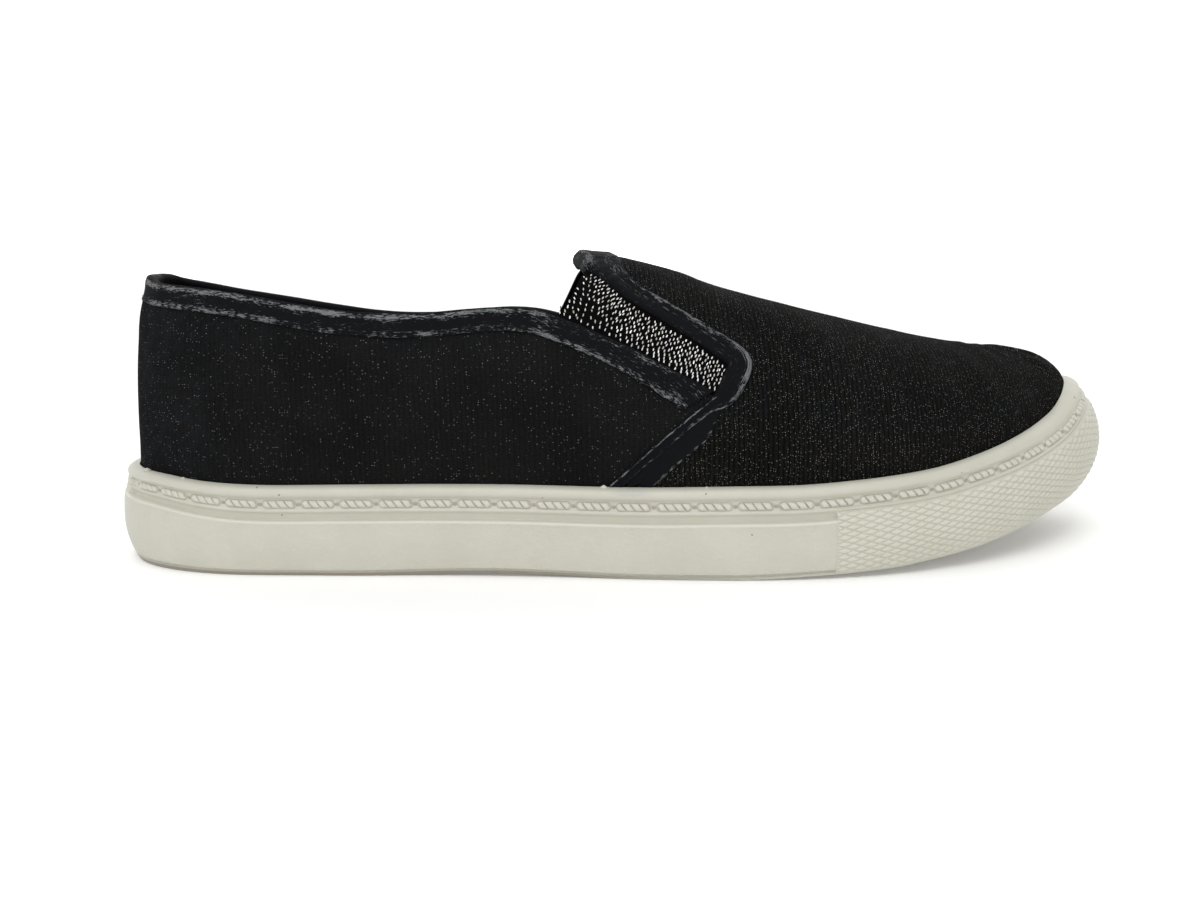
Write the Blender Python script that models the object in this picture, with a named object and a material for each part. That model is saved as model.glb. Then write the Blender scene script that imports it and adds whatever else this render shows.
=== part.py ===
"""A slip-on sneaker, right shoe: cup sole, hollow fabric upper, two elastics, bindings and insole.

Metres. +X points to the toe, +Y to the inner side of the foot, +Z up from the floor.
The wearer's outer side is at -Y.

One surface is the last of the shoe. A place on it is (around, up): around runs from 0 at the heel's
back along the outer side to 0.5 at the toe and back along the inner side to 1, and up runs from 0
at the sole's rim to 1 at the ridge over the instep.
"""

import math
from collections import namedtuple

import bmesh
import bpy
import numpy as np
from mathutils import Matrix

# Driving sizes of the shoe
LENGTH = 0.268
BALL_WIDTH = 0.094
RIM_HEIGHT = 0.023
TOE_RIM_HEIGHT = 0.042
TOE_SPRING = 0.0102
ARCH_LIFT = 0.0008
COLLAR_HEIGHT = 0.0738
THROAT_HEIGHT = 0.0770
INNER_COLLAR_DROP = 0.0032

# Sole
CUP_FLOOR = 0.0100
CUP_WALL = 0.0030
TOE_LEAN = 0.0065
EDGE_TUCK = 0.0012
TOE_TUCK = 0.0062
PATCH_START = 0.689
PLATE_WIDTH = 0.0212
STEP_EDGE = 0.0003
GROOVE_WIDTH = 0.0022
GROOVE_DEPTH = 0.0014
GROOVE_PITCH = 0.0092
GROOVE_BORDER = 0.0085
TREAD_START = 0.05
TREAD_END = 0.93

# Upper and what is sewn to it
CLEARANCE = 0.0003
BOWED_CLEARANCE = 0.00045
UPPER_WALL = 0.0015
GORE_WALL = 0.0011
BINDING_WIDTH = 0.0057
VAMP_BINDING_WIDTH = 0.0050
THROAT_BINDING_WIDTH = 0.0092
BINDING_WALL = 0.0006
THROAT_PAD = 0.0009
TAPE_WIDTH = 0.0070
INSOLE_THICKNESS = 0.0040

# Fineness of the meshes
HALF_STATIONS = 36
WINDOW_CELLS = 7
CUP_ROWS = 2
QUARTER_ROWS = 6
BAND_ROWS = 1
VAMP_ROWS = 6
RUNG_CELLS = 3
GORE_CELLS_UP = 3
GORE_CELLS_ALONG = 7
TAPE_CELLS_LOW = 6
TAPE_CELLS_HIGH = 2
OUTLINE_MARKS = 1200
CLOSEST_STATIONS = 0.45
LAST_CELL = 0.004
SLANT_LIMIT = 0.4

Outline = namedtuple("Outline", "along across")
OUTER_SIDE = [
    Outline(0.0000, 0.006),
    Outline(0.0075, -0.106),
    Outline(0.0300, -0.202),
    Outline(0.0650, -0.272),
    Outline(0.1100, -0.320),
    Outline(0.2150, -0.362),
    Outline(0.3300, -0.389),
    Outline(0.4400, -0.429),
    Outline(0.5500, -0.479),
    Outline(0.6600, -0.502),
    Outline(0.7600, -0.469),
    Outline(0.8600, -0.364),
    Outline(0.9350, -0.209),
    Outline(0.9800, -0.069),
]
INNER_SIDE = [
    Outline(1.0000, 0.091),
    Outline(0.9860, 0.241),
    Outline(0.9500, 0.346),
    Outline(0.8950, 0.431),
    Outline(0.8000, 0.489),
    Outline(0.6900, 0.496),
    Outline(0.5800, 0.446),
    Outline(0.4600, 0.356),
    Outline(0.3400, 0.311),
    Outline(0.2150, 0.328),
    Outline(0.1100, 0.314),
    Outline(0.0650, 0.274),
    Outline(0.0300, 0.208),
    Outline(0.0075, 0.116),
]

# Rim: share of the rise from the waist to the toe's tip. Spring: share of the toe spring.
# Arch: share of the lift. Lean: share of the inward lean of the toe's wall.
SolePlace = namedtuple("SolePlace", "along rim spring arch lean")
SOLE = [
    SolePlace(0.000, 0.110, 0.000, 0.00, 0.24),
    SolePlace(0.063, 0.084, 0.000, 0.00, 0.08),
    SolePlace(0.100, 0.035, 0.000, 0.00, 0.00),
    SolePlace(0.150, 0.000, 0.000, 0.00, 0.00),
    SolePlace(0.250, 0.000, 0.000, 0.00, 0.00),
    SolePlace(0.390, 0.000, 0.000, 1.00, 0.00),
    SolePlace(0.500, -0.020, 0.000, 0.00, 0.00),
    SolePlace(0.600, 0.000, 0.000, 0.00, 0.00),
    SolePlace(0.670, 0.015, 0.080, 0.00, 0.00),
    SolePlace(0.710, 0.048, 0.130, 0.00, 0.00),
    SolePlace(0.750, 0.088, 0.200, 0.00, 0.02),
    SolePlace(0.790, 0.145, 0.320, 0.00, 0.08),
    SolePlace(0.830, 0.245, 0.450, 0.00, 0.17),
    SolePlace(0.875, 0.375, 0.640, 0.00, 0.33),
    SolePlace(0.920, 0.525, 0.820, 0.00, 0.55),
    SolePlace(0.945, 0.625, 0.900, 0.00, 0.70),
    SolePlace(0.970, 0.790, 0.960, 0.00, 0.86),
    SolePlace(1.000, 0.985, 1.000, 0.00, 1.00),
]

# The sole's side from the rim down. Drop is the distance below the rim, and below the step it is a
# share of what is left. Run, patch and plate are the insets of the plain side, the toe patch and the
# heel plate.
SideRow = namedtuple("SideRow", "drop share run patch plate")
SIDE = [
    SideRow(0.0000, 0.0, 0.0020, 0.0020, 0.0020),
    SideRow(0.0005, 0.0, 0.0008, 0.0008, 0.0008),
    SideRow(0.0016, 0.0, 0.0002, 0.0002, 0.0002),
    SideRow(0.0028, 0.0, 0.0005, 0.0005, 0.0005),
    SideRow(0.0032, 0.0, 0.0014, 0.0014, 0.0006),
    SideRow(0.0036, 0.0, 0.0008, 0.0008, 0.0005),
    SideRow(0.0046, 0.0, 0.0004, 0.0004, 0.0003),
    SideRow(0.0056, 0.0, 0.0008, 0.0008, 0.0003),
    SideRow(0.0060, 0.0, 0.0014, 0.0014, 0.0003),
    SideRow(0.0063, 0.0, 0.0007, 0.0007, 0.0002),
    SideRow(0.0068, 0.0, 0.0007, 0.0006, 0.0002),
    SideRow(0.0070, 0.0, 0.0012, 0.0001, 0.0002),
    SideRow(0.0086, 0.0, 0.0012, -0.0003, 0.0002),
    SideRow(0.0088, 0.0, 0.0002, -0.0004, 0.0001),
    SideRow(0.0094, 0.0, -0.0002, -0.0005, -0.0002),
    SideRow(0.0094, 0.5, -0.0005, -0.0006, -0.0006),
    SideRow(0.0094, 0.93, 0.0000, 0.0000, 0.0000),
    SideRow(0.0094, 1.0, 0.0012, 0.0012, 0.0012),
]

# The ridge of the last. Foot is the place along the rim where a rib starts, ridge the place along
# the length where it ends. Height is a share of the throat's height, and square the exponent of the
# rib's rounded corner: 2 is an ellipse, more is squarer.
Rib = namedtuple("Rib", "foot ridge across height square")
RIBS = [
    Rib(0.012, 0.150, 0.006, 1.264, 2.5),
    Rib(0.090, 0.160, 0.011, 1.259, 2.6),
    Rib(0.165, 0.190, 0.016, 1.249, 2.8),
    Rib(0.275, 0.262, 0.021, 1.203, 3.0),
    Rib(0.390, 0.378, 0.031, 1.121, 3.0),
    Rib(0.480, 0.465, 0.041, 1.000, 3.0),
    Rib(0.504, 0.490, 0.041, 1.003, 3.0),
    Rib(0.530, 0.518, 0.041, 0.987, 2.9),
    Rib(0.572, 0.562, 0.040, 0.941, 2.8),
    Rib(0.612, 0.604, 0.038, 0.889, 2.7),
    Rib(0.650, 0.645, 0.038, 0.848, 2.6),
    Rib(0.730, 0.728, 0.038, 0.772, 2.3),
    Rib(0.810, 0.800, 0.042, 0.710, 2.1),
    Rib(0.885, 0.852, 0.051, 0.675, 1.9),
    Rib(0.965, 0.873, 0.061, 0.665, 1.75),
]

# Lower is the bound edge of the quarters: the collar, then the elastic's lower edge, as a share of
# the collar's height. Upper is the vamp's bound edge over the elastic, as a share of the throat's
# height. Dip is the share by which the inner collar lies lower than the outer.
Edge = namedtuple("Edge", "foot lower upper dip")
EDGES = [
    Edge(0.012, 1.000, 0.963, 0.0),
    Edge(0.040, 0.990, 0.963, 0.2),
    Edge(0.100, 0.973, 0.963, 0.8),
    Edge(0.155, 0.948, 0.963, 1.0),
    Edge(0.205, 0.916, 0.963, 1.0),
    Edge(0.245, 0.894, 0.963, 1.0),
    Edge(0.285, 0.883, 0.963, 1.0),
    Edge(0.320, 0.883, 0.963, 1.0),
    Edge(0.360, 0.893, 0.963, 1.0),
    Edge(0.395, 0.897, 0.963, 1.0),
    Edge(0.420, 0.888, 0.963, 1.0),
    Edge(0.450, 0.850, 0.963, 0.8),
    Edge(0.480, 0.803, 0.955, 0.5),
    Edge(0.506, 0.760, 0.876, 0.3),
    Edge(0.534, 0.702, 0.812, 0.1),
    Edge(0.560, 0.650, 0.752, 0.0),
    Edge(0.584, 0.603, 0.689, 0.0),
    Edge(0.620, 0.572, 0.637, 0.0),
    Edge(0.700, 0.530, 0.571, 0.0),
    Edge(0.800, 0.490, 0.526, 0.0),
    Edge(0.900, 0.515, 0.545, 0.0),
    Edge(0.965, 0.603, 0.615, 0.0),
]
THROAT_FOOT = 0.478
GORE_END_FOOT = 0.584
GORE_REAR_FOOT = 0.440

# The vamp's rear edge over the quarter: its place around the shoe at the rim, and how far it leans
# forward up a rib
TAPE_FOOT = 0.2385
TAPE_SLOPE = 0.158
TAPE_START = 0.012
TAPE_STOP = 0.032

# The collar binding's ends are cut on a slant, to lie along the tape: the slant, and where it starts
COLLAR_SHEAR = 1.3
COLLAR_SHEAR_REACH = 0.04


def smooth_curve(places, values, closed=False):
    """A function for the smooth curve through the values at these places."""
    places = np.asarray(places, float)
    values = np.asarray(values, float)
    steps = np.diff(places)
    slopes = np.diff(values, axis=0) / (steps[:, None] if values.ndim > 1 else steps)
    weights = steps if values.ndim == 1 else steps[:, None]
    inner = (slopes[:-1] * weights[1:] + slopes[1:] * weights[:-1]) / (weights[:-1] + weights[1:])
    if closed:
        ends = (slopes[-1] * weights[0] + slopes[0] * weights[-1]) / (weights[0] + weights[-1])
        tangents = np.concatenate([[ends], inner, [ends]])
    else:
        tangents = np.concatenate([slopes[:1], inner, slopes[-1:]])

    def at(place):
        place = np.clip(np.asarray(place, float), places[0], places[-1])
        left = np.clip(np.searchsorted(places, place, side="right") - 1, 0, len(steps) - 1)
        step = steps[left]
        share = (place - places[left]) / step
        if values.ndim > 1:
            share = share[..., None]
            step = step[..., None]
        bend = share * share * (3 - 2 * share)
        return (
            values[left] * (1 - bend)
            + values[left + 1] * bend
            + step * share * (1 - share) ** 2 * tangents[left]
            - step * share * share * (1 - share) * tangents[left + 1]
        )

    return at


def column(rows, name):
    return [getattr(row, name) for row in rows]


def table_curve(rows, key, name):
    return smooth_curve(column(rows, key), column(rows, name))


def measured_outline():
    """The sole's outline in plan as a closed curve, with its length along each side."""
    rows = OUTER_SIDE + INNER_SIDE
    plan = np.array([(row.along * LENGTH - LENGTH / 2, row.across * BALL_WIDTH) for row in rows])
    plan = np.vstack([plan, plan[:1]])
    reach = np.concatenate([[0], np.cumsum(np.hypot(*np.diff(plan, axis=0).T))])
    curve = smooth_curve(reach, plan, closed=True)
    toe = reach[len(OUTER_SIDE)]
    sides = []
    for start, end in ((0, toe), (reach[-1], toe)):
        marks = np.linspace(start, end, OUTLINE_MARKS)
        path = curve(marks)
        run = np.concatenate([[0], np.cumsum(np.hypot(*np.diff(path, axis=0).T))])
        sides.append((marks, run / run[-1], run[-1]))
    return curve, reach[-1], sides


OUTLINE_CURVE, OUTLINE_REACH, OUTLINE_SIDES = measured_outline()
RIM_SHARE = table_curve(SOLE, "along", "rim")
SPRING_SHARE = table_curve(SOLE, "along", "spring")
ARCH_SHARE = table_curve(SOLE, "along", "arch")
LEAN_SHARE = table_curve(SOLE, "along", "lean")


def outline(around):
    """Plan points and outward normals of the sole's outline."""
    around = np.mod(np.asarray(around, float), 1.0)
    share = np.where(around <= 0.5, 2 * around, 2 - 2 * around)
    outer, inner = OUTLINE_SIDES
    mark = np.where(
        around <= 0.5,
        np.interp(share, outer[1], outer[0]),
        np.interp(share, inner[1], inner[0]),
    )
    nudge = OUTLINE_REACH * 5e-4
    ahead = OUTLINE_CURVE(np.mod(mark + nudge, OUTLINE_REACH))
    behind = OUTLINE_CURVE(np.mod(mark - nudge, OUTLINE_REACH))
    forward = ahead - behind
    forward /= np.linalg.norm(forward, axis=-1, keepdims=True)
    normal = np.stack([forward[..., 1], -forward[..., 0]], axis=-1)
    return OUTLINE_CURVE(mark), normal


def along_of(x):
    return x / LENGTH + 0.5


def rim_height(along):
    return RIM_HEIGHT + (TOE_RIM_HEIGHT - RIM_HEIGHT) * RIM_SHARE(along)


def ground_height(along):
    lift = TOE_SPRING * SPRING_SHARE(along) + ARCH_LIFT * ARCH_SHARE(along)
    return np.maximum(lift, 0)


def floor_height(along):
    return ground_height(along) + CUP_FLOOR


def wall_lean(along, height, under=True):
    """How far the sole's wall stands inside its outline at this height."""
    rim = rim_height(along)
    ground = ground_height(along)
    middle = (rim + ground) / 2
    above = np.clip((height - middle) / (rim - middle), 0, 1) ** 2
    below = np.clip((middle - height) / (middle - ground), 0, 1) ** 2
    lean = LEAN_SHARE(along)
    tuck = EDGE_TUCK + (TOE_TUCK - EDGE_TUCK) * lean
    return TOE_LEAN * lean * above + (tuck * below if under else 0)


def wall_point(around, height, inset, under=True):
    """A point of the sole's wall: inset from its outline, at this height, with the toe's lean."""
    plan, normal = outline(around)
    along = along_of(plan[..., 0])
    inset = inset + wall_lean(along, height, under)
    plan = plan - normal * np.asarray(inset)[..., None]
    return np.concatenate([plan, np.asarray(height)[..., None]], axis=-1)


RIDGE_PLACE = table_curve(RIBS, "foot", "ridge")
RIDGE_ACROSS = table_curve(RIBS, "foot", "across")
RIDGE_HEIGHT = table_curve(RIBS, "foot", "height")
RIDGE_SQUARE = table_curve(RIBS, "foot", "square")
LOWER_EDGE = table_curve(EDGES, "foot", "lower")
UPPER_EDGE = table_curve(EDGES, "foot", "upper")
COLLAR_DIP = table_curve(EDGES, "foot", "dip")


def rib_foot(around):
    """The mean place along the length of this rib's foot and its twin's across the shoe."""
    here = outline(around)[0][..., 0]
    twin = outline(1 - np.asarray(around, float))[0][..., 0]
    return along_of((here + twin) / 2)


def rib_ends(around):
    plan = outline(around)[0]
    rim = rim_height(along_of(plan[..., 0]))
    start = wall_point(around, rim, CUP_WALL + CLEARANCE)
    foot = rib_foot(around)
    end = np.stack(
        [
            RIDGE_PLACE(foot) * LENGTH - LENGTH / 2,
            RIDGE_ACROSS(foot) * BALL_WIDTH,
            RIDGE_HEIGHT(foot) * THROAT_HEIGHT,
        ],
        axis=-1,
    )
    return start, end, RIDGE_SQUARE(foot)


def last_point(around, up):
    """A point of the last's surface."""
    start, end, square = rib_ends(around)
    angle = np.asarray(up) * math.pi / 2
    side = np.abs(np.cos(angle))
    top = np.abs(np.sin(angle))
    size = (side**square + top**square) ** (-1 / square)
    share = np.stack([1 - side * size, 1 - side * size, top * size], axis=-1)
    return start + (end - start) * share


def last_normal(around, up):
    around = np.asarray(around, float)
    up = np.clip(np.asarray(up, float), 0.01, 0.985)
    across = last_point(around + 4e-4, up) - last_point(around - 4e-4, up)
    upward = last_point(around, up + 2e-3) - last_point(around, up - 2e-3)
    normal = np.cross(across, upward)
    return normal / np.linalg.norm(normal, axis=-1, keepdims=True)


def up_at_height(around, height):
    """Where a rib reaches this height."""
    start, end, square = rib_ends(around)
    top = np.clip((height - start[..., 2]) / (end[..., 2] - start[..., 2]), 0.02, 0.995)
    side = (1 - top**square) ** (1 / square)
    return np.arctan2(top, side) * 2 / math.pi


def lower_edge(around):
    """The fabric's edge inside the collar binding."""
    foot = rib_foot(around)
    drop = np.where(np.mod(around, 1.0) > 0.5, INNER_COLLAR_DROP, 0) * COLLAR_DIP(foot)
    height = LOWER_EDGE(foot) * COLLAR_HEIGHT - drop - CLEARANCE - BINDING_WALL
    return up_at_height(around, height)


def upper_edge(around):
    """The fabric's edge inside the vamp binding."""
    foot = rib_foot(around)
    return up_at_height(around, UPPER_EDGE(foot) * THROAT_HEIGHT + CLEARANCE + BINDING_WALL)


def around_where(measure, target, low=0.0, high=0.5):
    """The place on the outer side where a rising measure reaches the target."""
    for _ in range(40):
        middle = (low + high) / 2
        if measure(middle) < target:
            low = middle
        else:
            high = middle
    return (low + high) / 2


def stations():
    """Places around the rim, in pairs across the shoe, with close pairs where the side steps."""
    half = list(np.linspace(0, 0.5, HALF_STATIONS + 1))
    throat = around_where(rib_foot, THROAT_FOOT)
    gore_end = around_where(rib_foot, GORE_END_FOOT)
    patch = around_where(lambda a: along_of(outline(a)[0][0]), PATCH_START)
    plate = around_where(lambda a: -outline(a)[0][1], PLATE_WIDTH / 2, high=0.1)
    nudge = STEP_EDGE / (2 * OUTLINE_SIDES[0][2])
    marks = list(np.linspace(throat, gore_end, WINDOW_CELLS + 1))
    marks += [patch - nudge, patch + nudge, plate - nudge, plate + nudge]
    room = CLOSEST_STATIONS * 0.5 / HALF_STATIONS
    half = [
        place
        for place in half
        if place in (0, 0.5) or min(abs(place - mark) for mark in marks) > room
    ]
    half = sorted(half + marks)
    around = np.array(half + [1 - place for place in reversed(half[1:-1])])
    return around, half.index(marks[0]), half.index(marks[WINDOW_CELLS]), (patch, plate)


AROUND, THROAT_STATION, GORE_END_STATION, (PATCH_PLACE, PLATE_PLACE) = stations()
STATION_COUNT = len(AROUND)
TOE_STATION = STATION_COUNT // 2


def is_forward(station, start):
    """Whether this station is at or before the given one, seen from the toe, on either side."""
    return min(station, STATION_COUNT - station) >= start


def add_material(name, colour, roughness):
    material = bpy.data.materials.new(name)
    material.use_nodes = True
    shader = material.node_tree.nodes["Principled BSDF"]
    shader.inputs["Base Color"].default_value = (*colour, 1)
    shader.inputs["Roughness"].default_value = roughness
    material.diffuse_color = (*colour, 1)
    return material


def add_solid(name, material, points, faces, collection):
    """One closed mesh from points and faces, its doubled points joined and its faces turned out."""
    mesh = bpy.data.meshes.new(name)
    work = bmesh.new()
    verts = [work.verts.new(point) for point in points]
    for face in faces:
        work.faces.new([verts[index] for index in face])
    bmesh.ops.remove_doubles(work, verts=work.verts[:], dist=1e-6)
    bmesh.ops.recalc_face_normals(work, faces=work.faces[:])
    work.to_mesh(mesh)
    work.free()
    mesh.shade_smooth()
    mesh.set_sharp_from_angle(angle=math.radians(38))
    mesh.materials.append(material)
    thing = bpy.data.objects.new(name, mesh)
    collection.objects.link(thing)
    return thing


class Surfaces:
    """Collects grids of points as faces for one solid."""

    def __init__(self):
        self.points = []
        self.faces = []

    def grid(self, rows):
        """Faces between rows of points, where every row is an open line of the same length."""
        rows = np.asarray(rows)
        height, width = rows.shape[:2]
        base = len(self.points)
        self.points.extend(rows.reshape(-1, 3).tolist())
        for row in range(height - 1):
            for place in range(width - 1):
                corner = base + row * width + place
                self.faces.append((corner, corner + 1, corner + width + 1, corner + width))

    def rings(self, rows):
        """Faces between closed rings of points."""
        rows = np.asarray(rows)
        self.grid(np.concatenate([rows, rows[:, :1]], axis=1))

    def cap(self, ring):
        """Faces across a ring whose points are in pairs across the shoe."""
        count = len(ring)
        shares = np.linspace(0, 1, RUNG_CELLS + 1)[:, None]
        rungs = [ring[i] + (ring[-i % count] - ring[i]) * shares for i in range(count // 2 + 1)]
        self.grid(rungs)


def side_inset(row, place):
    distance = min(place, 1 - place)
    if distance > PATCH_PLACE:
        return row.patch
    if distance < PLATE_PLACE:
        return row.plate
    return row.run


def sole_rings():
    """Rings of the sole from the floor of its cup over the rim and down its side."""
    along = along_of(outline(AROUND)[0][:, 0])
    rim = rim_height(along)
    ground = ground_height(along)
    floor = floor_height(along)
    rings = []
    for share in (0, 0.5, 1):
        height = floor + (rim - floor) * share
        rings.append(wall_point(AROUND, height, CUP_WALL, under=False))
    for row in SIDE:
        height = rim - row.drop - (rim - row.drop - ground) * row.share
        inset = np.array([side_inset(row, place) for place in AROUND])
        rings.append(wall_point(AROUND, height, inset))
    return rings


def add_groove_cutter(collection):
    """Bars that cut the tread between heel and toe, short of the sole's edge."""
    marks = np.linspace(0, 0.5, OUTLINE_MARKS)
    outer = outline(marks)[0]
    inner = outline(1 - marks)[0]
    start = (TREAD_START - 0.5) * LENGTH
    end = (TREAD_END - 0.5) * LENGTH
    work = bmesh.new()
    for x in np.arange(start, end, GROOVE_PITCH):
        low = np.interp(x, outer[:, 0], outer[:, 1]) + GROOVE_BORDER
        high = np.interp(x, inner[:, 0], inner[:, 1]) - GROOVE_BORDER
        size = Matrix.Diagonal((GROOVE_WIDTH, high - low, 2 * GROOVE_DEPTH, 1))
        place = Matrix.Translation((x, (low + high) / 2, ground_height(along_of(x))))
        bmesh.ops.create_cube(work, size=1, matrix=place @ size)
    mesh = bpy.data.meshes.new("groove_cutter")
    work.to_mesh(mesh)
    work.free()
    cutter = bpy.data.objects.new("groove_cutter", mesh)
    cutter.hide_render = True
    cutter.display_type = "WIRE"
    collection.objects.link(cutter)
    return cutter


def add_sole(parts, cutters):
    surfaces = Surfaces()
    rings = sole_rings()
    surfaces.rings(rings)
    surfaces.cap(rings[0])
    surfaces.cap(rings[-1])
    rubber = add_material("sole_rubber", (0.78, 0.77, 0.71), 0.45)
    sole = add_solid("sole", rubber, surfaces.points, surfaces.faces, parts)
    cut = sole.modifiers.new("tread", "BOOLEAN")
    cut.object = add_groove_cutter(cutters)
    cut.operation = "DIFFERENCE"
    cut.solver = "EXACT"
    return sole


def upper_rows():
    """Rows of points of the upper's outer face and inner face, from inside the cup to the ridge."""
    along = along_of(outline(AROUND)[0][:, 0])
    rim = rim_height(along)
    floor = floor_height(along)
    outer = []
    inner = []
    for share in np.linspace(0, 1, CUP_ROWS + 1)[:-1]:
        height = floor + (rim - floor) * share
        height = height + (CLEARANCE if share == 0 else 0)
        outer.append(wall_point(AROUND, height, CUP_WALL + CLEARANCE, under=False))
        inner.append(wall_point(AROUND, height, CUP_WALL + CLEARANCE + UPPER_WALL, under=False))
    lower = lower_edge(AROUND)
    upper = upper_edge(AROUND)
    levels = [lower * share for share in np.linspace(0, 1, QUARTER_ROWS + 1)]
    levels += [lower + (upper - lower) * share for share in np.linspace(0, 1, BAND_ROWS + 1)[1:]]
    levels += [upper + (1 - upper) * share for share in np.linspace(0, 1, VAMP_ROWS + 1)[1:]]
    for level in levels:
        place = last_point(AROUND, level)
        outer.append(place)
        inner.append(place - last_normal(AROUND, level) * UPPER_WALL)
    return np.array(outer), np.array(inner)


def join_ridge(rows):
    """Makes the ridge's points the same on both sides of the shoe."""
    mean = (rows[-1] + np.roll(rows[-1][::-1], 1, axis=0)) / 2
    rows[-1] = mean
    return rows


def upper_cells():
    """The cells of the upper's grid that hold fabric, as (row, station)."""
    band = CUP_ROWS + QUARTER_ROWS
    crown = band + BAND_ROWS
    cells = set()
    for station in range(STATION_COUNT):
        following = (station + 1) % STATION_COUNT
        for row in range(crown + VAMP_ROWS):
            start = THROAT_STATION if row >= crown else GORE_END_STATION
            if row < band or is_forward(station, start) and is_forward(following, start):
                cells.add((row, station))
    return cells


def add_upper(parts):
    outer, inner = (join_ridge(rows) for rows in upper_rows())
    rows = len(outer)
    surfaces = Surfaces()
    surfaces.points = outer.reshape(-1, 3).tolist() + inner.reshape(-1, 3).tolist()
    deep = rows * STATION_COUNT
    edges = {}
    for row, station in sorted(upper_cells()):
        following = (station + 1) % STATION_COUNT
        corners = [
            row * STATION_COUNT + station,
            row * STATION_COUNT + following,
            (row + 1) * STATION_COUNT + following,
            (row + 1) * STATION_COUNT + station,
        ]
        surfaces.faces.append(corners)
        surfaces.faces.append([corner + deep for corner in reversed(corners)])
        for start, end in zip(corners, corners[1:] + corners[:1]):
            if (end, start) in edges:
                del edges[(end, start)]
            else:
                edges[(start, end)] = True
    ridge = (rows - 1) * STATION_COUNT
    for start, end in edges:
        if start < ridge or end < ridge:
            surfaces.faces.append((end, start, start + deep, end + deep))
    fabric = add_material("upper_fabric", (0.018, 0.018, 0.020), 0.85)
    return add_solid("upper", fabric, surfaces.points, surfaces.faces, parts)


def add_insole(parts):
    surfaces = Surfaces()
    along = along_of(outline(AROUND)[0][:, 0])
    floor = floor_height(along) + CLEARANCE
    inset = CUP_WALL + CLEARANCE + UPPER_WALL + 2 * CLEARANCE
    rings = []
    for share, tuck in ((0, 0.0002), (0.75, 0.0), (1, 0.0010)):
        height = floor + INSOLE_THICKNESS * share
        rings.append(wall_point(AROUND, height, inset + tuck, under=False))
    surfaces.rings(rings)
    surfaces.cap(rings[0])
    surfaces.cap(rings[-1])
    foam = add_material("insole_fabric", (0.025, 0.024, 0.025), 0.9)
    return add_solid("insole", foam, surfaces.points, surfaces.faces, parts)


def tape_line(up):
    """Where the vamp's rear edge crosses a rib at this height, as a place around the outer side."""
    return TAPE_FOOT + TAPE_SLOPE * np.asarray(up)


def surface_steps(around, up, direction):
    """The change of (around, up) for each metre moved along the surface in this direction."""
    first = (last_point(around + 5e-4, up) - last_point(around - 5e-4, up)) / 1e-3
    below = np.clip(up - 2e-3, 0, 1)
    above = np.clip(up + 2e-3, 0, 1)
    second = (last_point(around, above) - last_point(around, below)) / (above - below)[..., None]
    aa = (first * first).sum(-1)
    bb = (second * second).sum(-1)
    ab = (first * second).sum(-1)
    ad = (first * direction).sum(-1)
    bd = (second * direction).sum(-1)
    size = aa * bb - ab * ab
    return (ad * bb - bd * ab) / size, (bd * aa - ad * ab) / size


def path_inward(around, up, side):
    """Directions into the fabric along a path on the surface, mitred where the path turns."""
    points = last_point(around, up)
    normals = last_normal(around, up)
    runs = np.diff(points, axis=0)
    runs /= np.linalg.norm(runs, axis=-1, keepdims=True)
    before = np.concatenate([runs[:1], runs])
    after = np.concatenate([runs, runs[-1:]])
    first = np.cross(normals, before) * side
    second = np.cross(normals, after) * side
    return (first + second) / (1 + (first * second).sum(-1, keepdims=True))


def strip_rings(around, up, side, profiles, shear=None):
    """Rings of a strip that follows a path on the surface.

    A profile's points are (inward, outward): the distance from the path into the fabric and the
    height over its face. Shear moves a point around the shoe for each metre inward.
    """
    inward = path_inward(around, up, side)
    step_around, step_up = surface_steps(around, up, inward)
    if shear is not None:
        step_around = step_around + shear
    rings = []
    for place in range(len(profiles[0])):
        depth = np.array([profile[place][0] for profile in profiles])
        height = np.array([profile[place][1] for profile in profiles])
        here = around + depth * step_around
        level = up + depth * step_up
        rings.append(last_point(here, level) + last_normal(here, level) * height[:, None])
    return np.array(rings)


def add_strip(name, material, rings, parts):
    """A closed solid from the rings of a strip, whose first index runs round its section."""
    surfaces = Surfaces()
    surfaces.grid(np.concatenate([rings, rings[:1]]))
    count, length = rings.shape[:2]
    surfaces.faces.append([place * length for place in range(count)])
    surfaces.faces.append([place * length + length - 1 for place in reversed(range(count))])
    return add_solid(name, material, surfaces.points, surfaces.faces, parts)


def binding_profile(width, pad, gap=CLEARANCE):
    """The section of a tape folded over the fabric's edge."""
    wall = BINDING_WALL + pad
    leg = width - gap - BINDING_WALL
    middle = -UPPER_WALL / 2
    top = gap + wall
    reach = top - middle
    half = math.sqrt(0.5)
    nose = gap + BINDING_WALL + 0.8 * pad
    round_points = [(-nose * half, reach * half), (-nose, 0), (-nose * half, -reach * half)]
    outside = [(leg, gap), (leg - BINDING_WALL / 2, top), (0, top)]
    inside = [(place, 2 * middle - rise) for place, rise in reversed(outside)]
    fold = [(-gap, 2 * middle - gap), (-gap, gap)]
    return outside + [(place, middle + rise) for place, rise in round_points] + inside + fold


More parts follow.
